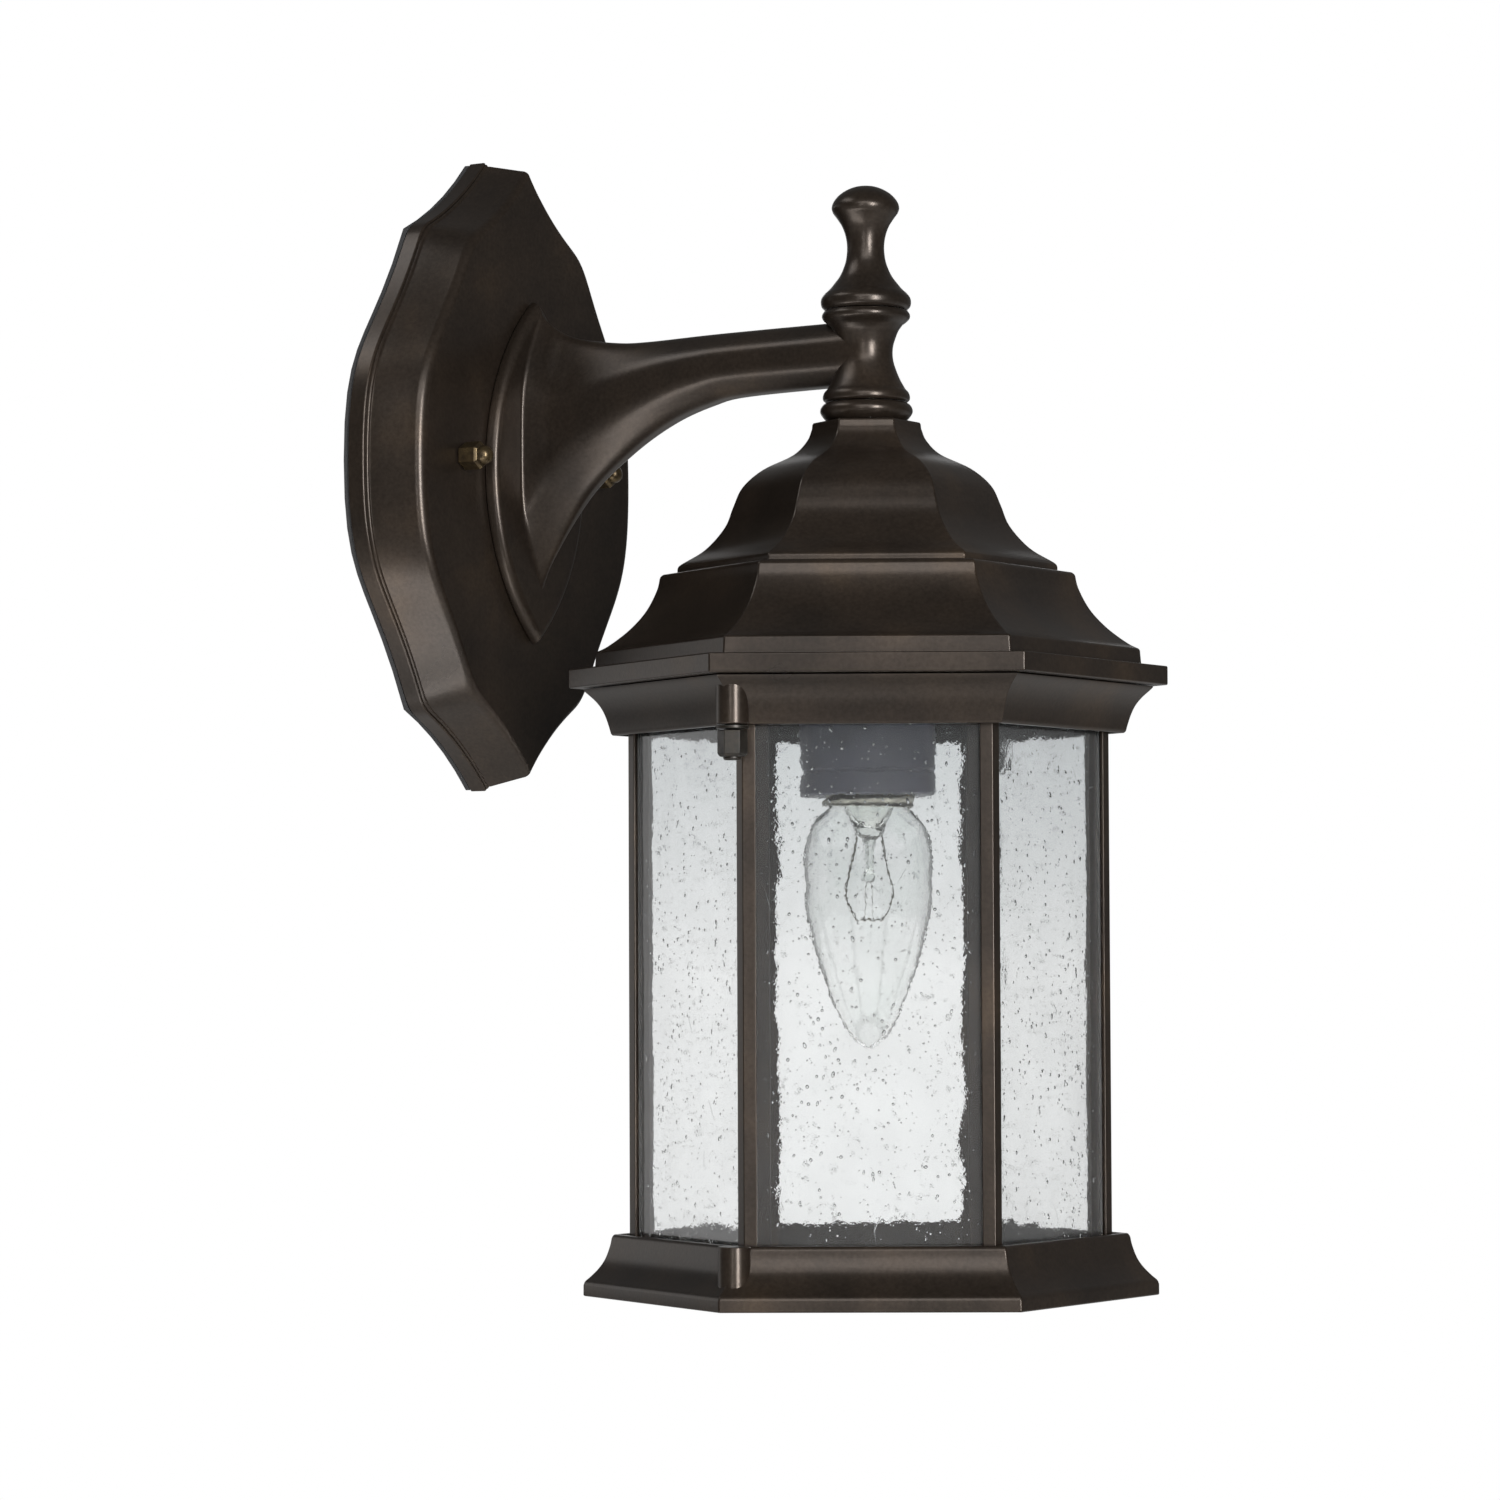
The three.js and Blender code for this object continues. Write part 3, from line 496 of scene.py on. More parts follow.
# %% Arm
PAD_BACK, PAD_FRONT = PLATE_FRONT - 0.3, PLATE_FRONT - 4.1
TOP_EDGE = smooth_row([(PAD_FRONT + 2, 48), (PAD_FRONT - 4, 42), (-38.7, 38.2), (-52, 35.8),
                       (-64, 35.2), (-90, 35.8), (-REACH, 36.3)], 120)
BOT_EDGE = smooth_row([(PAD_FRONT + 2, -37.5), (-31.4, -24.5), (-43.6, -7.8), (-57.4, 3.4),
                       (-71, 11.2), (-84.4, 15.7), (-97, 17.6), (-REACH, 18.4)], 120)
HALF_WIDTH = [(PAD_FRONT + 2, 10.5), (PAD_FRONT - 8, 9.2), (-80, 8.6), (-REACH, 7.4)]
CUT_BACK = [(PAD_FRONT + 2, 1), (PAD_FRONT - 14, 0.75), (-70, 0.58), (-REACH, 0.55)]


def between(table, y):
    for (y0, v0), (y1, v1) in zip(table, table[1:]):
        if y >= y1:
            return v0 + (y - y0) / (y1 - y0) * (v1 - v0)
    return table[-1][1]


FILLET = 0.9


def arm_section(y, count=10):
    """One section of the arm. Its root flares into the pad by a small fillet, and its lower
    ridges are crisper than its upper ones. Softening shrinks it, so it is drawn back to size."""
    near = min(max(PAD_FRONT - y, 0), FILLET)
    flare = FILLET - math.sqrt(FILLET ** 2 - (FILLET - near) ** 2)
    top, low = between(TOP_EDGE, y) + flare, between(BOT_EDGE, y) - flare
    w, cut = between(HALF_WIDTH, y) + flare, between(CUT_BACK, y)
    rise = min(0.3 + (cut - 0.55) * 0.25, 0.42) * (top - low)
    root = max(0, 1 - (PAD_FRONT + 2 - y) / 16)
    rise *= 1 - 0.45 * root
    flat = w * max(1.02 - cut, 0.06) * 0.8
    corners = [(flat, top), (w, top - rise), (w, low + rise), (flat, low)]
    corners += [(-x, z) for x, z in reversed(corners)]
    ring = []
    for a, b in zip(corners, corners[1:] + corners[:1]):
        ring += [(a[0] + (b[0] - a[0]) * i / count, a[1] + (b[1] - a[1]) * i / count)
                 for i in range(count)]
    blended = []
    for crisp, soft in zip(softened(ring, 6), softened(ring, 12)):
        share = min(max((crisp[1] - low) / (top - low), 0), 1)
        blended.append(tuple(a + (b - a) * share for a, b in zip(crisp, soft)))
    wide = max(x for x, z in blended)
    high, deep = max(z for x, z in blended), min(z for x, z in blended)
    grow = (top - low) / (high - deep)
    return [(x * w / wide, y, low + (z - deep) * grow) for x, z in blended]


def arm_shape():
    run = REACH + PAD_FRONT - FILLET
    at_root = [PAD_FRONT + 1] + [PAD_FRONT - FILLET * (i / 6) ** 2 for i in range(6)]
    along = [PAD_FRONT - FILLET - run * (i / 60) ** 1.25 for i in range(61)]
    return lofted([arm_section(y) for y in at_root + along])


def pad_ring(inset, y, count=40):
    """A pointed oval, made of two arcs that meet above and below."""
    w, h = 47 - 2 * inset, 99 - 3.2 * inset
    r = (h * h + w * w) / (4 * w)
    half = math.asin(h / 2 / r)
    out = []
    for side in (1, -1):
        for i in range(count):
            a = half * (1 - 2 * i / count)
            out.append((side * (r * math.cos(a) - (r - w / 2)), y, side * r * math.sin(a)))
    return out


def pad_shape():
    steps = [(0.4, PAD_BACK), (0.1, PAD_BACK - 0.3), (0, PAD_BACK - 0.8)]
    steps += [(2.4 - x, PAD_FRONT + 2.2 - z) for x, z in arc((0, 0), 2.2, 8, 90, 6)]
    return lofted([pad_ring(i, y) for i, y in steps])


def hub_profile():
    return ([(0, 13.4), (11.3, 13.4)] + smooth_row([(11.3, 13.4), (12.0, 14.0), (12.1, 15),
            (11.7, 16.1), (10.9, 17.0)], 12)[1:]
            + smooth_row([(10.9, 17.0), (9.5, 19.5), (8.45, 22), (7.6, 24.7), (7.35, 27.2),
                          (7.6, 29.4), (8.2, 31.3), (9, 33.3), (10.2, 35)], 26)[1:]
            + smooth_row([(10.2, 35), (11.4, 35.9), (12.15, 36.8), (12.2, 37.8), (11.6, 38.8)],
                         12)[1:] + [(0, 38.8)])


arm = made("arm_cast", arm_shape())
combined(arm, pad_shape(), "UNION")
combined(arm, on_axis(spun(hub_profile(), ROUND)), "UNION")
settle(arm, "bracket", BRONZE, ["arm"])


# %% [markdown]
# The finial is a turned spindle that screws into the hub from above, and the collar is the
# small ring under the hub. Both are spun from a profile whose curves are soft rows of points.

# %% Finial and collar
FIN = 39.1


def finial_profile():
    foot = smooth_row([(11.4, FIN), (12.3, FIN + 0.9), (12.55, FIN + 2.2), (12.3, FIN + 3.4),
                       (11.4, FIN + 4.6)], 14)
    waist = smooth_row([(11.4, FIN + 4.6), (10.1, 44.9), (8.7, 46.6), (7.3, 48.5), (6.2, 50.8),
                        (5.45, 53.3), (5.15, 56.6), (5.5, 59.6), (6.4, 62.3), (7.6, 64.3),
                        (9, 66.2)], 44)
    knob = smooth_row([(9, 66.2), (9.4, 67.5), (9.1, 68.9), (8.2, 70.3), (6.7, 71.7),
                       (4.6, 72.9), (2.4, 73.6), (0, 73.8)], 26)
    return [(0, 33.6), (2.5, 33.6), (3, 34.1), (3, FIN)] + foot + waist[1:] + knob[1:-1] + [
        (0, 73.8)]


finial = made("finial_turned", on_axis(spun(finial_profile(), ROUND)))
settle(finial, "finial", BRONZE, ["finial"])

COLLAR_BOT, COLLAR_TOP = heights("collar")
collar_profile = [(PIPE_HOLE, COLLAR_BOT), (11.0, COLLAR_BOT)] + smooth_row(
    [(11.0, COLLAR_BOT), (11.9, COLLAR_BOT + 0.9), (12.8, COLLAR_BOT + 2.3),
     (12.75, COLLAR_BOT + 3.5), (12.1, COLLAR_TOP - 0.5), (11.4, COLLAR_TOP)], 16)[1:] + [
    (PIPE_HOLE, COLLAR_TOP)]
collar = made("collar_ring", on_axis(spun(collar_profile, ROUND, closed=True)))
settle(collar, "bracket", BRONZE, ["collar"])


# %% [markdown]
# The roof is a hollow hexagonal casting in two tiers: a bell-shaped dome, a narrow step, a
# hollow-curved skirt and an upright fascia. Its underside follows the same curves one wall in.
# Because it is cast, each ridge between two sides is rounded by less than a millimetre.

# %% Roof
FASCIA_TOP = FASCIA_BOT + 5.3
BOSS_AT = 71.4
DOME = smooth_row([(15.3, 6), (16.7, 2.7), (20.6, -1.2), (29, -5.2), (34.6, -10), (37.2, -15.4),
                   (39.6, -21.2), (45, -27.3), (51.6, -31.3)], 40)
TIER = smooth_row([(57.6, -34.8), (58.6, -38.8), (61.7, -44.6), (66.4, -49.7), (72, -53.9),
                   (75.4, FASCIA_TOP + 4.7)], 26)
UNDER = smooth_row([(BOSS_AT - 6.5, FASCIA_BOT + 8), (62, -52.5), (56, -43), (48.5, -34.5),
                    (38, -25.5), (34.6, -17), (30.5, -10), (22, -5.4), (14.5, -2),
                    (12.4, 0.5)], 26)
CAST_ROUND = 0.45


def is_ridge(edge):
    """True for an edge that climbs a six-sided casting from corner to corner."""
    a, b = (v.co for v in edge.verts)
    turn_a, turn_b = math.atan2(a.y, a.x), math.atan2(b.y, b.x)
    return abs((turn_a - turn_b + math.pi) % math.tau - math.pi) < 0.01


def hex_cast(profile, closed=True):
    """A six-sided casting with its ridges and its steps rounded."""
    shape = round_edges(spun(profile, 6, closed), CAST_ROUND,
                        lambda edge: 8 if is_ridge(edge) else 30)
    return on_axis(shape)


roof_profile = ([(0, 7.8), (14.9, 7.8), (15.2, 7.1)] + DOME + [(52.4, -31.9), (52.8, -32.4),
                (52.8, -34.0), (56.6, -34.1)] + TIER + [(75.8, FASCIA_TOP), (ROOF_R, FASCIA_TOP),
                (ROOF_R, FASCIA_BOT), (65.8, FASCIA_BOT), (65.8, FASCIA_BOT + 5)] + UNDER
                + [(12.2, 4.6), (0, 4.6)])
roof = made("roof_cast", hex_cast(roof_profile, closed=False))
combined(roof, on_axis(rod(PIPE_HOLE, -8, 10, 32)), "DIFFERENCE")
for side in (-1, 1):
    bore = rod(STUD_HOLE, FASCIA_BOT - 1, FASCIA_BOT + 6.3, 24)
    combined(roof, on_axis(bore, side * BOSS_AT), "DIFFERENCE")
settle(roof, "bracket", BRONZE, ["roof"])


# %% [markdown]
# The cage is what drops away to change the lamp. Its skirt and base are hexagonal castings with
# a hollow-curved face, and each has two round bosses. The skirt's bosses take the studs.

# %% Skirt and base
RING_R, LEDGE_R = 69.5, 60


def ring_with_bosses(name, profile, boss_low, boss_high, node, hole=None):
    ring = made(name, hex_cast(profile))
    for side in (-1, 1):
        boss = round_edges(rod(4.4, boss_low, boss_high, 48), 0.35, lambda edge: 60)
        combined(ring, on_axis(boss, side * BOSS_AT), "UNION")
        if hole:
            bore = rod(STUD_HOLE, *hole, 32)
            combined(ring, on_axis(bore, side * BOSS_AT), "DIFFERENCE")
    return settle(ring, "cage", BRONZE, [node])


skirt_curve = smooth_row([(79, 0), (78.4, -0.8), (75.8, -3.1), (74, -5.3), (72.8, -7.7),
                          (71.9, -10.3), (71.3, -12.4)], 24)
skirt_profile = [(r, SKIRT_TOP + z) for r, z in skirt_curve] + [
    (70.8, SKIRT_BOT), (RING_R, SKIRT_BOT), (RING_R, SKIRT_TOP - 3.4), (LEDGE_R, SKIRT_TOP - 3.4),
    (LEDGE_R, SKIRT_TOP)]
ring_with_bosses("skirt_cast", skirt_profile, SKIRT_BOT, SKIRT_TOP - 2, "skirt",
                 (SKIRT_BOT - 2, SKIRT_TOP + 2))
base_curve = smooth_row([(71.5, -0.7), (72.1, -3.4), (73.4, -6.8), (75.2, -9.4), (77.4, -11.6),
                         (78.9, -12.9), (79.4, -14)], 24)
base_profile = [(70.8, BASE_TOP)] + [(r, BASE_TOP + z) for r, z in base_curve] + [
    (79.4, BASE_BOT), (LEDGE_R, BASE_BOT), (LEDGE_R, BASE_BOT + 3.4), (RING_R, BASE_BOT + 3.4),
    (RING_R, BASE_TOP)]
ring_with_bosses("base_cast", base_profile, BASE_BOT + 1, BASE_TOP, "base")


# %% [markdown]
# Each corner post is an extruded bar whose section is a double V. The outer flanges cover the
# edges of two panes, the inner flanges hold them from behind, and the glass slides in between.
# The bar's corners are rounded by a quarter of a millimetre as an extrusion's are.

# %% Posts
POST_R, GLASS_T, FLANGE_T = 66.5, 2.4, 1.0
POST_BOT, POST_TOP = heights("post_1")
FACE_OUT = POST_R * math.cos(math.pi / 6)
FACE_IN = FACE_OUT - FLANGE_T
BACK_OUT = FACE_IN - GLASS_T - 0.6
BACK_IN = BACK_OUT - FLANGE_T
CORE = POST_R / 2 - 3.5 + 0.85


def on_face(out, along, degrees):
    a = math.radians(degrees)
    return out * math.cos(a) - along * math.sin(a), out * math.sin(a) + along * math.cos(a)


def post_shape(degrees):
    half = [(FACE_OUT, POST_R / 2 - 3.5), (FACE_IN, POST_R / 2 - 3.5), (FACE_IN, CORE),
            (BACK_OUT, CORE), (BACK_OUT, POST_R / 2 - 7), (BACK_IN, POST_R / 2 - 7)]
    outline = [(POST_R, 0)] + [on_face(a, s, -30) for a, s in half]
    outline += [(BACK_IN / math.cos(math.pi / 6), 0)]
    outline += [on_face(a, -s, 30) for a, s in reversed(half)]
    shape = lofted([[(x, y, z) for x, y in outline] for z in (POST_BOT, POST_TOP)])
    round_edges(shape, 0.28, lambda edge: 25)
    return on_axis(turned_by(shape, degrees))


for k in range(6):
    post = made("post_bar_%d" % (k + 1), post_shape(60 * k))
    settle(post, "cage", BRONZE, ["post_%d" % (k + 1)])


# %% [markdown]
# Seeded glass is poured with gas bubbles left in it, and its surface is never quite flat. Each
# pane is a slab whose two faces carry their own slow waves, so straight things behind it look
# ragged. The seeds are small hollows inside the glass, most of them round, a few drawn out and a
# very few pulled into hairs. The tint of each pane turns greyer towards its top.
# One pane differs from the next because the waves and the seeds come from its own number.

# %% Seeded glass panes
PANE_HALF = CORE - 0.3
PANE_MID = FACE_IN - 0.3 - GLASS_T / 2
SEEDS, BATCH = 1000, 25
HAIRS = 0.006
MARGIN = 1.6
SEED_SIZES = (0.12, 0.13, 0.15, 0.17, 0.2, 0.23, 0.3, 0.4)


def wave(along, up, side, number):
    """How far one face of a pane stands proud at a place, in millimetres."""
    slow = noise.noise(Vector((along / 11, up / 13, side * 9 + number * 3.7)))
    quick = noise.noise(Vector((along / 4.2, up / 5.5, side * 9 + number * 5.1 + 40)))
    fine = noise.noise(Vector((along / 1.9, up / 2.6, side * 9 + number * 2.3 + 80)))
    return 0.07 * slow + 0.022 * quick + 0.02 * fine


def pane_shape(number):
    tall, wide, thick = POST_TOP - POST_BOT, 2 * PANE_HALF, GLASS_T - 0.3
    shape = bmesh.new()
    bmesh.ops.create_grid(shape, x_segments=58, y_segments=150, size=0.5)
    for dot in shape.verts:
        dot.co = Vector((0, dot.co.x * wide, dot.co.y * tall)) * MM
    grown = bmesh.ops.extrude_face_region(shape, geom=shape.faces[:])["geom"]
    back = {g for g in grown if isinstance(g, bmesh.types.BMVert)}
    bmesh.ops.translate(shape, verts=list(back), vec=(-thick * MM, 0, 0))
    for dot in shape.verts:
        side = -1 if dot in back else 1
        edge = min(1, (wide / 2 - abs(dot.co.y / MM)) / 2, (tall / 2 - abs(dot.co.z / MM)) / 2)
        dot.co.x += wave(dot.co.y / MM, dot.co.z / MM, side, number) * max(edge, 0) * MM
    bmesh.ops.translate(shape, verts=shape.verts, vec=(thick / 2 * MM, 0, 0))
    bmesh.ops.recalc_face_normals(shape, faces=shape.faces)
    pick = random.Random(number * 17 + 5)
    for _ in range(SEEDS // BATCH):
        few = bmesh.new()
        for _ in range(BATCH):
            size = pick.choice(SEED_SIZES) * pick.uniform(0.85, 1.2)
            long = pick.choice((1, 1, 1.1, 1.3, 1.9))
            if pick.random() < HAIRS:
                size, long = 0.09, pick.uniform(14, 40)
            place = Vector((pick.uniform(-0.35, 0.35), pick.uniform(-1, 1) * (PANE_HALF - MARGIN),
                            pick.uniform(-1, 1) * (tall / 2 - MARGIN))) * MM
            slant = Matrix.Rotation(pick.uniform(-0.6, 0.6), 4, "X")
            put = Matrix.Translation(place) @ slant @ Matrix.Diagonal((0.9, 1, long, 1))
            bmesh.ops.create_uvsphere(few, u_segments=8, v_segments=6, radius=size * MM,
                                      matrix=put)
        bmesh.ops.reverse_faces(few, faces=few.faces[:])
        add_shape(shape, few)
    moved(shape, PANE_MID, 0, (POST_BOT + POST_TOP) / 2)
    return on_axis(turned_by(shape, 30 + 60 * (number - 1)))


GREY_TOP = 75


def seeded_glass():
    """Clear glass with a faint film, and a tint that turns greyer over its top GREY_TOP
    millimetres.
    """
    material, tree, place = start_material("seeded_glass")
    ripple = clouds(tree, place, 1.1)
    film = clouds(tree, place, 22, 3)
    height = add_node(tree, "ShaderNodeSeparateXYZ", {"Vector": place}).outputs["Z"]
    # The tint turns greyer towards the top of each pane, set by height alone.
    top_grey = spread_over(tree, height, (POST_TOP - GREY_TOP) * MM, POST_TOP * MM, 0, 1)
    tint = multiplied(tree, ramp(tree, film, [(0.3, "f6f7f7"), (0.7, "fcfdfd")]),
                      ramp(tree, top_grey, [(0.0, "ffffff"), (1.0, "e9ebec")]))
    return end_material(material, tree, {
        "Base Color": tint, "Roughness": spread_over(tree, film, 0.3, 0.7, 0.0, 0.02),
        "Transmission Weight": 0.985, "IOR": 1.5, "Normal": relief(tree, ripple, 0.3, 0.05)})


GLASS = seeded_glass()
CLEAR.append(GLASS)
for k in range(1, 7):
    pane = made("pane_glass_%d" % k, pane_shape(k), 40)
    settle(pane, "cage", GLASS, ["pane_%d" % k])


# %% [markdown]
# The small hardware. The backplate hangs on two studs and is closed by two cap nuts, long
# hexagons with a low dome, in a bronze lacquer that has worn a little brassy on its corners.
# The cage hangs on two more studs and is closed by the same nut upside down over a washer.

# %% Hardware materials
def worn_metal(name, deep, worn, metallic, rough, scale_mm, bump_mm=0.02):
    """A coated or plated metal: its tone and its gloss drift, and its skin is not quite flat."""
    material, tree, place = start_material(name)
    drift = clouds(tree, place, scale_mm, 4, 0.6)
    return end_material(material, tree, {
        "Base Color": ramp(tree, drift, [(0.35, deep), (0.68, worn)]), "Metallic": metallic,
        "Roughness": spread_over(tree, drift, 0.3, 0.7, rough + 0.08, rough - 0.08),
        "Normal": relief(tree, drift, 0.3, bump_mm)})


WALL_NUT = worn_metal("bronze_lacquered_brass", "3b3123", "5c4e36", 0.8, 0.32, 2.5)
CAGE_NUT = worn_metal("black_oxide_nut", "15130f", "26211b", 0.5, 0.4, 2.0)
ZINC = worn_metal("zinc_plated_steel", "8d8f90", "b4b5b2", 1.0, 0.33, 5.0)
SHELL_BRASS = worn_metal("screw_shell_brass", "9a8455", "c2a876", 1.0, 0.3, 4.0)
CAP_METAL = worn_metal("lamp_cap_nickel", "9c9a90", "c4c1b4", 1.0, 0.32, 4.0)
SOLDER = worn_metal("solder", "85878a", "b5b7b8", 1.0, 0.38, 1.2, 0.06)
TUNGSTEN = worn_metal("tungsten_wire", "5a574f", "8a867a", 1.0, 0.4, 0.8)
GREEN_SCREW = worn_metal("green_plated_screw", "2b6a38", "3f8a4c", 0.8, 0.35, 2.0)


# %% [markdown]
# A cap nut is a six-sided bar with its corners turned back and a low dome on its closed end. It
# is drilled only part of the way, so the stud's thread stays dry. The studs are rods with a fine
# V thread, drawn as rings a pitch apart because the thread shows only as a texture.

# %% Cap nuts, washers and studs
NUT_AF, NUT_DOME_R = 7.0, 2.75


def cap_nut(hexagon, dome):
    """A cap nut about Z: a hexagon cut back at its corners, with a dome or a flat cap on top."""
    corner = NUT_AF / math.sqrt(3)
    shape = spun([(0, 0.05), (corner - 0.25, 0), (corner, 0.25), (corner, hexagon - 0.8),
                  (NUT_AF / 2 - 0.15, hexagon), (0, hexagon)], 6)
    round_edges(shape, 0.16, lambda edge: 20, 2)
    if dome > 2:
        cap = [(0, hexagon - 0.4), (NUT_DOME_R, hexagon - 0.4)] + smooth_row(
            [(NUT_DOME_R, hexagon + 0.1), (NUT_DOME_R * 0.97, hexagon + dome * 0.3),
             (NUT_DOME_R * 0.8, hexagon + dome * 0.68), (NUT_DOME_R * 0.45, hexagon + dome * 0.93),
             (0, hexagon + dome)], 18)
    else:
        cap = [(0, hexagon - 0.4), (2.5, hexagon - 0.4), (2.5, hexagon + dome - 0.4),
               (2.1, hexagon + dome), (0, hexagon + dome)]
    return combined(made("nut", shape), spun(cap, 40), "UNION")


def placed_nut(name, hexagon, dome, matrix):
    """Drills a cap nut, short of its closed end, and puts it where it goes."""
    nut = combined(cap_nut(hexagon, dome), rod(STUD_HOLE, -1, hexagon + dome - 1.4, 24),
                   "DIFFERENCE")
    nut.name = nut.data.name = name
    nut.data.transform(matrix)
    return nut


LAID = Matrix.Rotation(math.pi / 2, 4, "X")
FLIPPED = Matrix.Rotation(math.pi, 4, "X")
NUT_TURN = Matrix.Rotation(math.radians(30), 4, "Z")
GAP, WASHER_T = 0.3, 0.9
NUT_Z = SKIRT_BOT - GAP - WASHER_T - GAP
for side, sign in (("left", -1), ("right", 1)):
    spot = Matrix.Translation(Vector((sign * STUD_X, PLATE_FRONT - GAP, STUD_Z)) * MM)
    nut = placed_nut("wall_cap_nut_" + side, 6.2, 3.0, spot @ LAID @ NUT_TURN)
    settle(nut, "wall_nut_" + side, WALL_NUT, ["wall_nut_" + side])
    spot = Matrix.Translation(Vector((sign * BOSS_AT, -REACH, NUT_Z)) * MM)
    nut = placed_nut("cage_cap_nut_" + side, 7.1, 0.9, spot @ FLIPPED)
    settle(nut, "cage_nut_" + side, CAGE_NUT, ["cage_nut_" + side])
    low, high = NUT_Z + GAP, NUT_Z + GAP + WASHER_T
    ring = spun([(4.15, low), (4.35, low + 0.15), (4.35, high - 0.1), (4.2, high),
                 (STUD_HOLE, high), (STUD_HOLE, low)], 48, closed=True)
    washer = made("cage_ring_washer_" + side, on_axis(ring, sign * BOSS_AT))
    settle(washer, "cage", CAGE_NUT, ["cage_washer_" + side])


STUD_R = 1.9


def threaded(radius, low, high, pitch, chamfer=0.4):
    """A rod with a fine V thread, drawn as rings a pitch apart."""
    profile = [(0, low), (radius - chamfer, low), (radius, low + chamfer)]
    z = low + chamfer
    while z < high - chamfer - pitch:
        profile += [(radius - pitch * 0.45, z + pitch / 2), (radius, z + pitch)]
        z += pitch
    profile += [(radius, high - chamfer), (radius - chamfer, high), (0, high)]
    return spun(profile, 24)


for side, sign in (("left", -1), ("right", 1)):
    stud = on_axis(threaded(STUD_R, *heights("cage_stud_" + side), 0.7), sign * BOSS_AT)
    settle(made("cage_thread_" + side, stud, 20), "bracket", ZINC,
           ["cage_stud_" + side])
    low, high = span("wall_stud_" + side)
    stud = turned_by(threaded(STUD_R, -high[1], -low[1], 0.8), 90, "X")
    stud = made("wall_thread_" + side, moved(stud, sign * STUD_X, 0, STUD_Z), 20)
    lock_nut = drill(sign * STUD_X, STUD_Z, 3.8, -2.0, -3.9, 6)
    settle(combined(stud, lock_nut, "UNION"), "bracket", ZINC,
           ["wall_stud_" + side])


# %% [markdown]
# The lamp holder is a moulded phenolic cup with a brass screw shell inside it, and the centre
# contact sits at its top. It hangs on the threaded pipe that also pulls the roof to the hub.

# %% Lamp holder
SOCKET_BOT, SOCKET_TOP = heights("socket")
SOCKET_R, CUP_R, CUP_TOP = 18.75, 14.1, SOCKET_BOT + 29


def phenolic():
    material, tree, place = start_material("moulded_phenolic")
    flow, skin = clouds(tree, place, 9, 4, 0.6), clouds(tree, place, 0.6)
    return end_material(material, tree, {
        "Base Color": ramp(tree, flow, [(0.3, "41424d"), (0.7, "52535f")]), "Roughness": 0.38,
        "Normal": relief(tree, skin, 0.15, 0.1)})


PHENOLIC = phenolic()
holder_profile = [(PIPE_HOLE, SOCKET_TOP), (12.4, SOCKET_TOP)] + smooth_row(
    [(12.4, SOCKET_TOP), (14.8, SOCKET_TOP - 1.5), (17.3, SOCKET_TOP - 6.8),
     (SOCKET_R, SOCKET_TOP - 9.5)], 12)[1:] + [
    (SOCKET_R, SOCKET_BOT + 7.4), (SOCKET_R - 0.35, SOCKET_BOT + 7.1),
    (SOCKET_R - 0.35, SOCKET_BOT + 6.5), (SOCKET_R, SOCKET_BOT + 6.2),
    (SOCKET_R, SOCKET_BOT + 0.9)] + arc((SOCKET_R - 0.9, SOCKET_BOT + 0.9), 0.9, 0, -90, 4)[1:] + [
    (CUP_R + 0.6, SOCKET_BOT), (CUP_R, SOCKET_BOT + 0.6), (CUP_R, CUP_TOP), (1.5, CUP_TOP),
    (1.5, SOCKET_TOP - 8), (PIPE_HOLE, SOCKET_TOP - 8)]
holder = made("lamp_holder", on_axis(spun(holder_profile, 72, closed=True)))
settle(holder, "bracket", PHENOLIC, ["socket"])


def screw_shape(radius, depth, wall, low, high, pitch):
    """A rolled screw shell: a thin sheet with a rounded thread in it, bent round to a tube."""
    shape = bmesh.new()
    bmesh.ops.create_grid(shape, x_segments=48, y_segments=int((high - low) / pitch * 10),
                          size=0.5)
    for dot in shape.verts:
        turn, up = dot.co.x + 0.5, (high - low) * (dot.co.y + 0.5)
        fade = min(1, up / 1.5, (high - low - up) / 1.5)
        dip = 0.5 - 0.5 * math.cos(math.tau * (up / pitch - turn))
        dot.co = Matrix.Rotation(math.tau * turn, 3, "Z") @ Vector(
            ((radius - depth * dip * fade) * MM, 0, (low + up) * MM))
    bmesh.ops.remove_doubles(shape, verts=shape.verts, dist=1e-6)
    bmesh.ops.recalc_face_normals(shape, faces=shape.faces)
    bmesh.ops.solidify(shape, geom=shape.faces[:], thickness=wall * MM)
    return on_axis(shape)


shell = made("holder_screw_shell", screw_shape(13.75, 0.35, 0.3, *heights("screw_shell"), 3.6))
settle(shell, "bracket", SHELL_BRASS, ["screw_shell"])


# %% [markdown]
# The lamp is a clear torpedo with a 26 mm screw cap. Inside is the glass stem that carries the
# leads: they leave its pinch, spread to the sides and come together below, where the coiled
# tungsten filament is strung between them and held up by two finer wires.

# %% Lamp
CAP_R, CAP_BOT = 12.9, SOCKET_BOT - 3
CAP_TOP = heights("bulb_cap")[1]
cap = made("lamp_cap", screw_shape(CAP_R, 0.7, 0.5, CAP_BOT, CAP_TOP - 3.4, 3.2))
lid = spun([(CAP_R - 1.2, CAP_TOP - 3.6), (CAP_R - 0.5, CAP_TOP - 3.4), (9.2, CAP_TOP - 1.1),
            (5.4, CAP_TOP), (5.4, CAP_TOP - 0.8), (9.0, CAP_TOP - 2.0)], 48, closed=True)
combined(cap, on_axis(lid), "UNION")
settle(cap, "bulb", CAP_METAL, ["bulb_cap"])

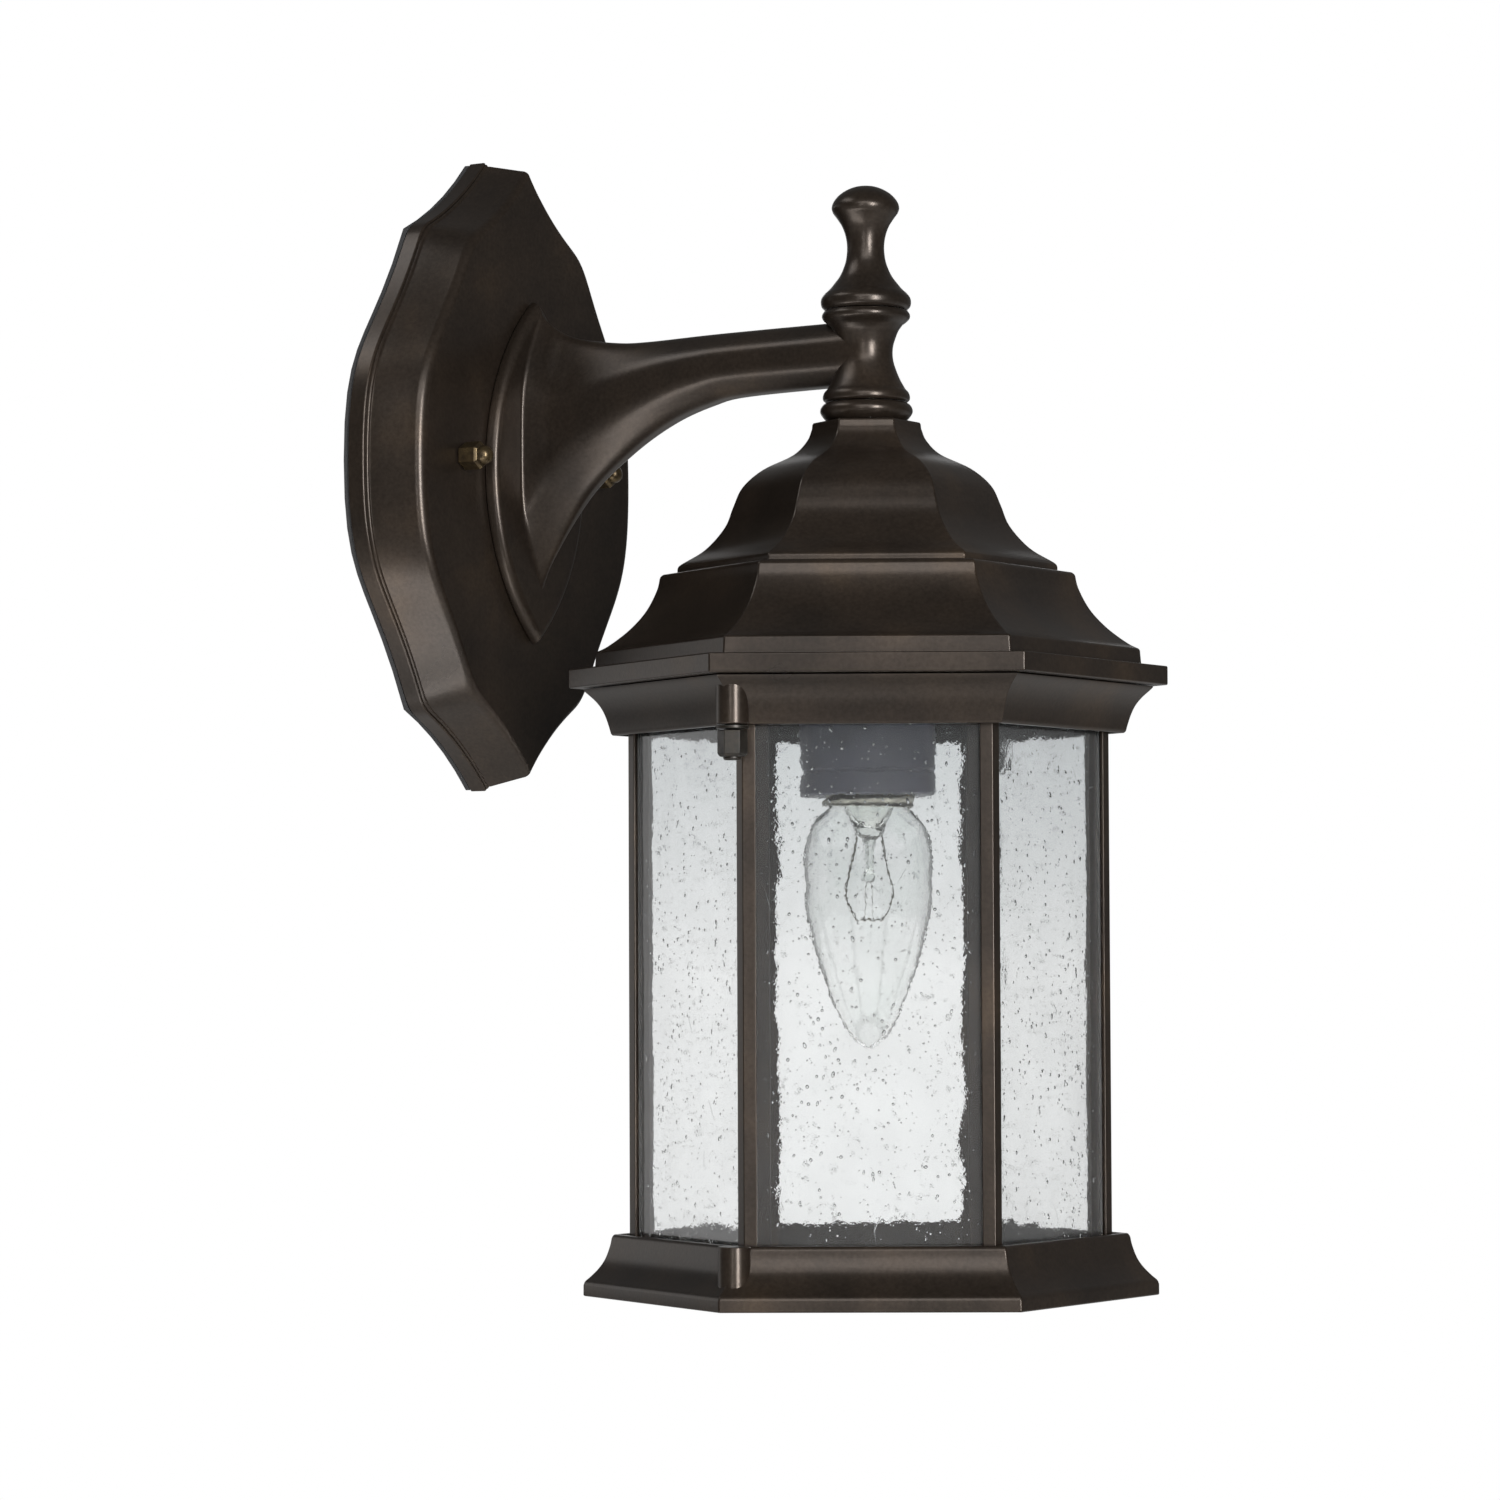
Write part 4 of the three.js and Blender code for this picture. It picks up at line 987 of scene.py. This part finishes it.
NECK_R = CAP_R - 1.7
OUTER = smooth_row([(NECK_R, CAP_BOT - 0.2), (14.4, -102.4), (16.2, -105.6), (17.3, -111),
                    (17.6, -117), (17.5, -124), (16.5, -132), (14.2, -141), (11.3, -149.4),
                    (7.9, -157.6), (4.4, -163), (0.9, -165.5)], 60)


def envelope_profile(wall=0.55):
    rows = [(NECK_R, CAP_BOT + 6)] + OUTER + [(0, -165.6)]
    inner = []
    for a, b, c in zip(rows, rows[1:], rows[2:]):
        along = Vector((c[0] - a[0], c[1] - a[1])).normalized()
        inner.append((max(b[0] + along.y * wall, 0.05), b[1] - along.x * wall))
    return rows[::-1] + [(NECK_R - wall, CAP_BOT + 6)] + inner + [(0, -165.6 + wall * 1.3)]


def lamp_glass(name, tint):
    material, tree, place = start_material(name)
    draw = clouds(tree, place, 14, 1)
    return end_material(material, tree, {
        "Base Color": ramp(tree, draw, tint), "Roughness": 0.0, "Transmission Weight": 1.0,
        "IOR": 1.5, "Normal": relief(tree, draw, 0.1, 0.4)})


LAMP_GLASS = lamp_glass("lamp_glass_clear", [(0.3, "fafcfb"), (0.7, "ffffff")])
STEM_GLASS = lamp_glass("lamp_stem_glass", [(0.3, "eef2ef"), (0.7, "fafbf8")])
CLEAR.extend((LAMP_GLASS, STEM_GLASS))
envelope = made("lamp_envelope", on_axis(spun(envelope_profile(), 72)))
settle(envelope, "bulb", LAMP_GLASS, ["bulb_glass"])


def tube_shape(points, radius, sides=8):
    """A round wire through a row of points, with its section carried along without twist."""
    rows = [Vector(p) for p in points]
    rings, side = [], None
    for i, here in enumerate(rows):
        along = (rows[min(i + 1, len(rows) - 1)] - rows[max(i - 1, 0)]).normalized()
        if side is None:
            side = along.orthogonal().normalized()
        side = (side - along * side.dot(along)).normalized()
        other = along.cross(side)
        rings.append([here + (side * math.cos(math.tau * k / sides)
                              + other * math.sin(math.tau * k / sides)) * radius
                      for k in range(sides)])
    return lofted(rings)


STEM_TURN = -58
STEM_INSIDE = [(0, -5.5), (1.6, -5.0), (3.7, -3.4), (5.5, -1.0), (7.7, 2.2), (7.8, 5)]
STEM_OUTSIDE = [(8.6, 5), (8.5, 2), (6.4, -1.5), (4.9, -4), (3.4, -7.4), (1.5, -9), (1.2, -14),
                (1.2, -17), (2.1, -19), (1.7, -20.6)]
stem = spun([(r, CAP_BOT + z) for r, z in smooth_row(STEM_INSIDE, 20)
             + smooth_row(STEM_OUTSIDE, 44) + [(0, -21.2)]], 40)
for dot in stem.verts:
    pinch = max(0, 1 - abs(dot.co.z / MM - (CAP_BOT - 6)) / 5)
    dot.co.y *= 1 - 0.5 * pinch
settle(made("lamp_stem", on_axis(turned_by(stem, STEM_TURN))), "bulb",
       STEM_GLASS, ["bulb_stem"])

lead_half = [(3.2, 0, CAP_BOT - 6.5), (3.5, 0, -108), (4.6, 0, -113), (6.1, 0, -119),
             (6.6, 0, -123), (5.4, 0, -127), (3.4, 0, -130)]
wires = bmesh.new()
for sign in (1, -1):
    row = smooth_row([(sign * x, y, z) for x, y, z in lead_half], 30)
    add_shape(wires, tube_shape(row, 0.28))
    row = smooth_row([(sign * 0.8, 0, CAP_BOT - 20), (sign * 1.1, 0.4, -124),
                      (sign * 1.3, 0.1, -130)], 8)
    add_shape(wires, tube_shape(row, 0.1, 6))
COIL_R, COIL_LONG, COIL_TURNS = 0.22, 6.8, 60
coil = []
for i in range(COIL_TURNS * 7 + 1):
    t = i / (COIL_TURNS * 7)
    turn = t * COIL_TURNS * math.tau
    sag = 0.54 * abs(math.sin(t * 3 * math.pi))
    coil.append((COIL_LONG * (t - 0.5), COIL_R * math.cos(turn),
                 -130.2 + sag + COIL_R * math.sin(turn)))
add_shape(wires, tube_shape(coil, 0.07, 5))
settle(made("lamp_wires", on_axis(turned_by(wires, STEM_TURN))), "bulb",
       TUNGSTEN, ["filament"])


# %% [markdown]
# What is left of the model is hidden inside or seen only from behind: the crossbar, the gasket,
# the threaded pipes and their nuts, the leads. Their shapes are right as they are, so they keep
# their place and are given real materials.

# %% Hidden hardware
def soft_material(name, deep, light, rough, scale_mm, bump_mm):
    material, tree, place = start_material(name)
    cells = clouds(tree, place, scale_mm, 5, 0.7)
    return end_material(material, tree, {
        "Base Color": ramp(tree, cells, [(0.3, deep), (0.7, light)]), "Roughness": rough,
        "Normal": relief(tree, cells, 0.5, bump_mm)})


LEFTOVER = {
    soft_material("closed_cell_foam", "1f1f20", "303031", 0.95, 0.5, 0.15): ["gasket"],
    soft_material("lead_jacket_black", "151515", "202020", 0.5, 3, 0.03): ["lead_hot"],
    soft_material("lead_jacket_white", "d9d6cd", "e6e3da", 0.5, 3, 0.03): ["lead_neutral"],
    soft_material("lead_jacket_green", "24613a", "2f7a49", 0.5, 3, 0.03): ["lead_ground"],
    ZINC: ["crossbar", "arm_pipe", "arm_washer", "arm_lock_nut", "centre_pipe", "roof_nut"],
    GREEN_SCREW: ["ground_screw"],
    SHELL_BRASS: ["socket_contact"],
    SOLDER: ["bulb_contact"],
}
for material, names in LEFTOVER.items():
    for name in names:
        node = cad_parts[name]
        node.data.materials.clear()
        node.data.materials.append(material)
    print(material.name, "on", ", ".join(names))


# %% [markdown]
# The light is a plain white studio. The camera and whatever is seen through glass meet a white
# sky and a white floor, but they light the metal only dimly, because a dark satin coat under an
# even white sky would turn grey. Soft lamps then draw the forms. They give light and highlights
# but don't show through the glass.

# %% Studio
DIM_SKY, BOUNCE_LOSS = 0.13, 0.6


def seen_directly(tree):
    """1 for what the camera meets, straight on or through glass, and 0 for reflected light."""
    ray = add_node(tree, "ShaderNodeLightPath")
    return add_node(tree, "ShaderNodeMath", {0: ray.outputs["Is Camera Ray"],
                    1: ray.outputs["Is Transmission Ray"]}, operation="MAXIMUM").outputs[0]


def studio_sky():
    """A sky that is white where it is seen, less so after a bounce, and dim where it lights."""
    world = bpy.data.worlds.new("studio")
    world.use_nodes = True
    tree = world.node_tree
    tree.nodes.clear()
    ray = add_node(tree, "ShaderNodeLightPath")
    bounced = add_node(tree, "ShaderNodeMath", {0: ray.outputs["Diffuse Depth"],
                       1: ray.outputs["Glossy Depth"]}, operation="ADD", use_clamp=True)
    share = add_node(tree, "ShaderNodeMath", {0: bounced.outputs[0], 1: -BOUNCE_LOSS, 2: 1.0},
                     operation="MULTIPLY_ADD")
    lit = add_node(tree, "ShaderNodeMath", {0: seen_directly(tree), 1: share.outputs[0]},
                   operation="MULTIPLY")
    dim = add_node(tree, "ShaderNodeBackground", {"Color": colour("ffffff"), "Strength": DIM_SKY})
    white = add_node(tree, "ShaderNodeBackground", {"Color": colour("ffffff"), "Strength": 1.0})
    blend = add_node(tree, "ShaderNodeMixShader", {0: lit.outputs[0],
                     1: dim.outputs[0], 2: white.outputs[0]})
    add_node(tree, "ShaderNodeOutputWorld", {"Surface": blend.outputs[0]})
    bpy.context.scene.world = world


def soft_lamp(name, azimuth, elevation, away, size, watts):
    """A rectangular lamp that looks at the lantern's middle from away metres off."""
    data = bpy.data.lights.new(name, "AREA")
    data.shape, data.size, data.size_y, data.energy = "RECTANGLE", size[0], size[1], watts
    lamp = bpy.data.objects.new(name, data)
    a, e = math.radians(azimuth), math.radians(elevation)
    back = Vector((math.sin(a) * math.cos(e), -math.cos(a) * math.cos(e), math.sin(e)))
    middle = (AXIS + Vector((0, 60, -80))) * MM
    lamp.matrix_world = Matrix.Translation(middle + back * away) @ back.to_track_quat(
        "Z", "Y").to_matrix().to_4x4()
    lamp.visible_transmission = False
    bpy.context.scene.collection.objects.link(lamp)


studio_sky()
for lamp in (("key", -34, 4, 2.0, (0.34, 1.2), 60),
             ("left_strip", -70, 0, 1.8, (0.12, 1.1), 5),
             ("upper_left", -138, 48, 1.8, (1.0, 0.5), 6),
             ("lower_left", -106, -50, 1.4, (1.2, 0.3), 7),
             ("front", -62, 27, 2.2, (1.5, 0.5), 13),
             ("right_fill", 122, 10, 2.4, (1.2, 1.0), 4),
             ("back_fill", 180, 4, 2.4, (1.5, 1.0), 4)):
    soft_lamp(*lamp)

FLOOR_Z, FLOOR_GLOW = -1600, 0.25
floor_shape = bmesh.new()
bmesh.ops.create_grid(floor_shape, x_segments=12, y_segments=12, size=6)
floor = made("floor", moved(floor_shape, 0, -REACH, FLOOR_Z))
FLOOR_PAINT, floor_tree, floor_place = start_material("pale_floor")
floor_noise = clouds(floor_tree, floor_place, 300)
floor_glow = add_node(floor_tree, "ShaderNodeMath", {0: seen_directly(floor_tree),
                      1: 1 - FLOOR_GLOW, 2: FLOOR_GLOW}, operation="MULTIPLY_ADD").outputs[0]
end_material(FLOOR_PAINT, floor_tree, {
    "Base Color": ramp(floor_tree, floor_noise, [(0.3, "e9e8e6"), (0.7, "f0efed")]),
    "Roughness": 0.8, "Emission Color": colour("ffffff"), "Emission Strength": floor_glow})
floor.data.materials.append(FLOOR_PAINT)
bpy.context.scene.view_settings.view_transform = "Standard"
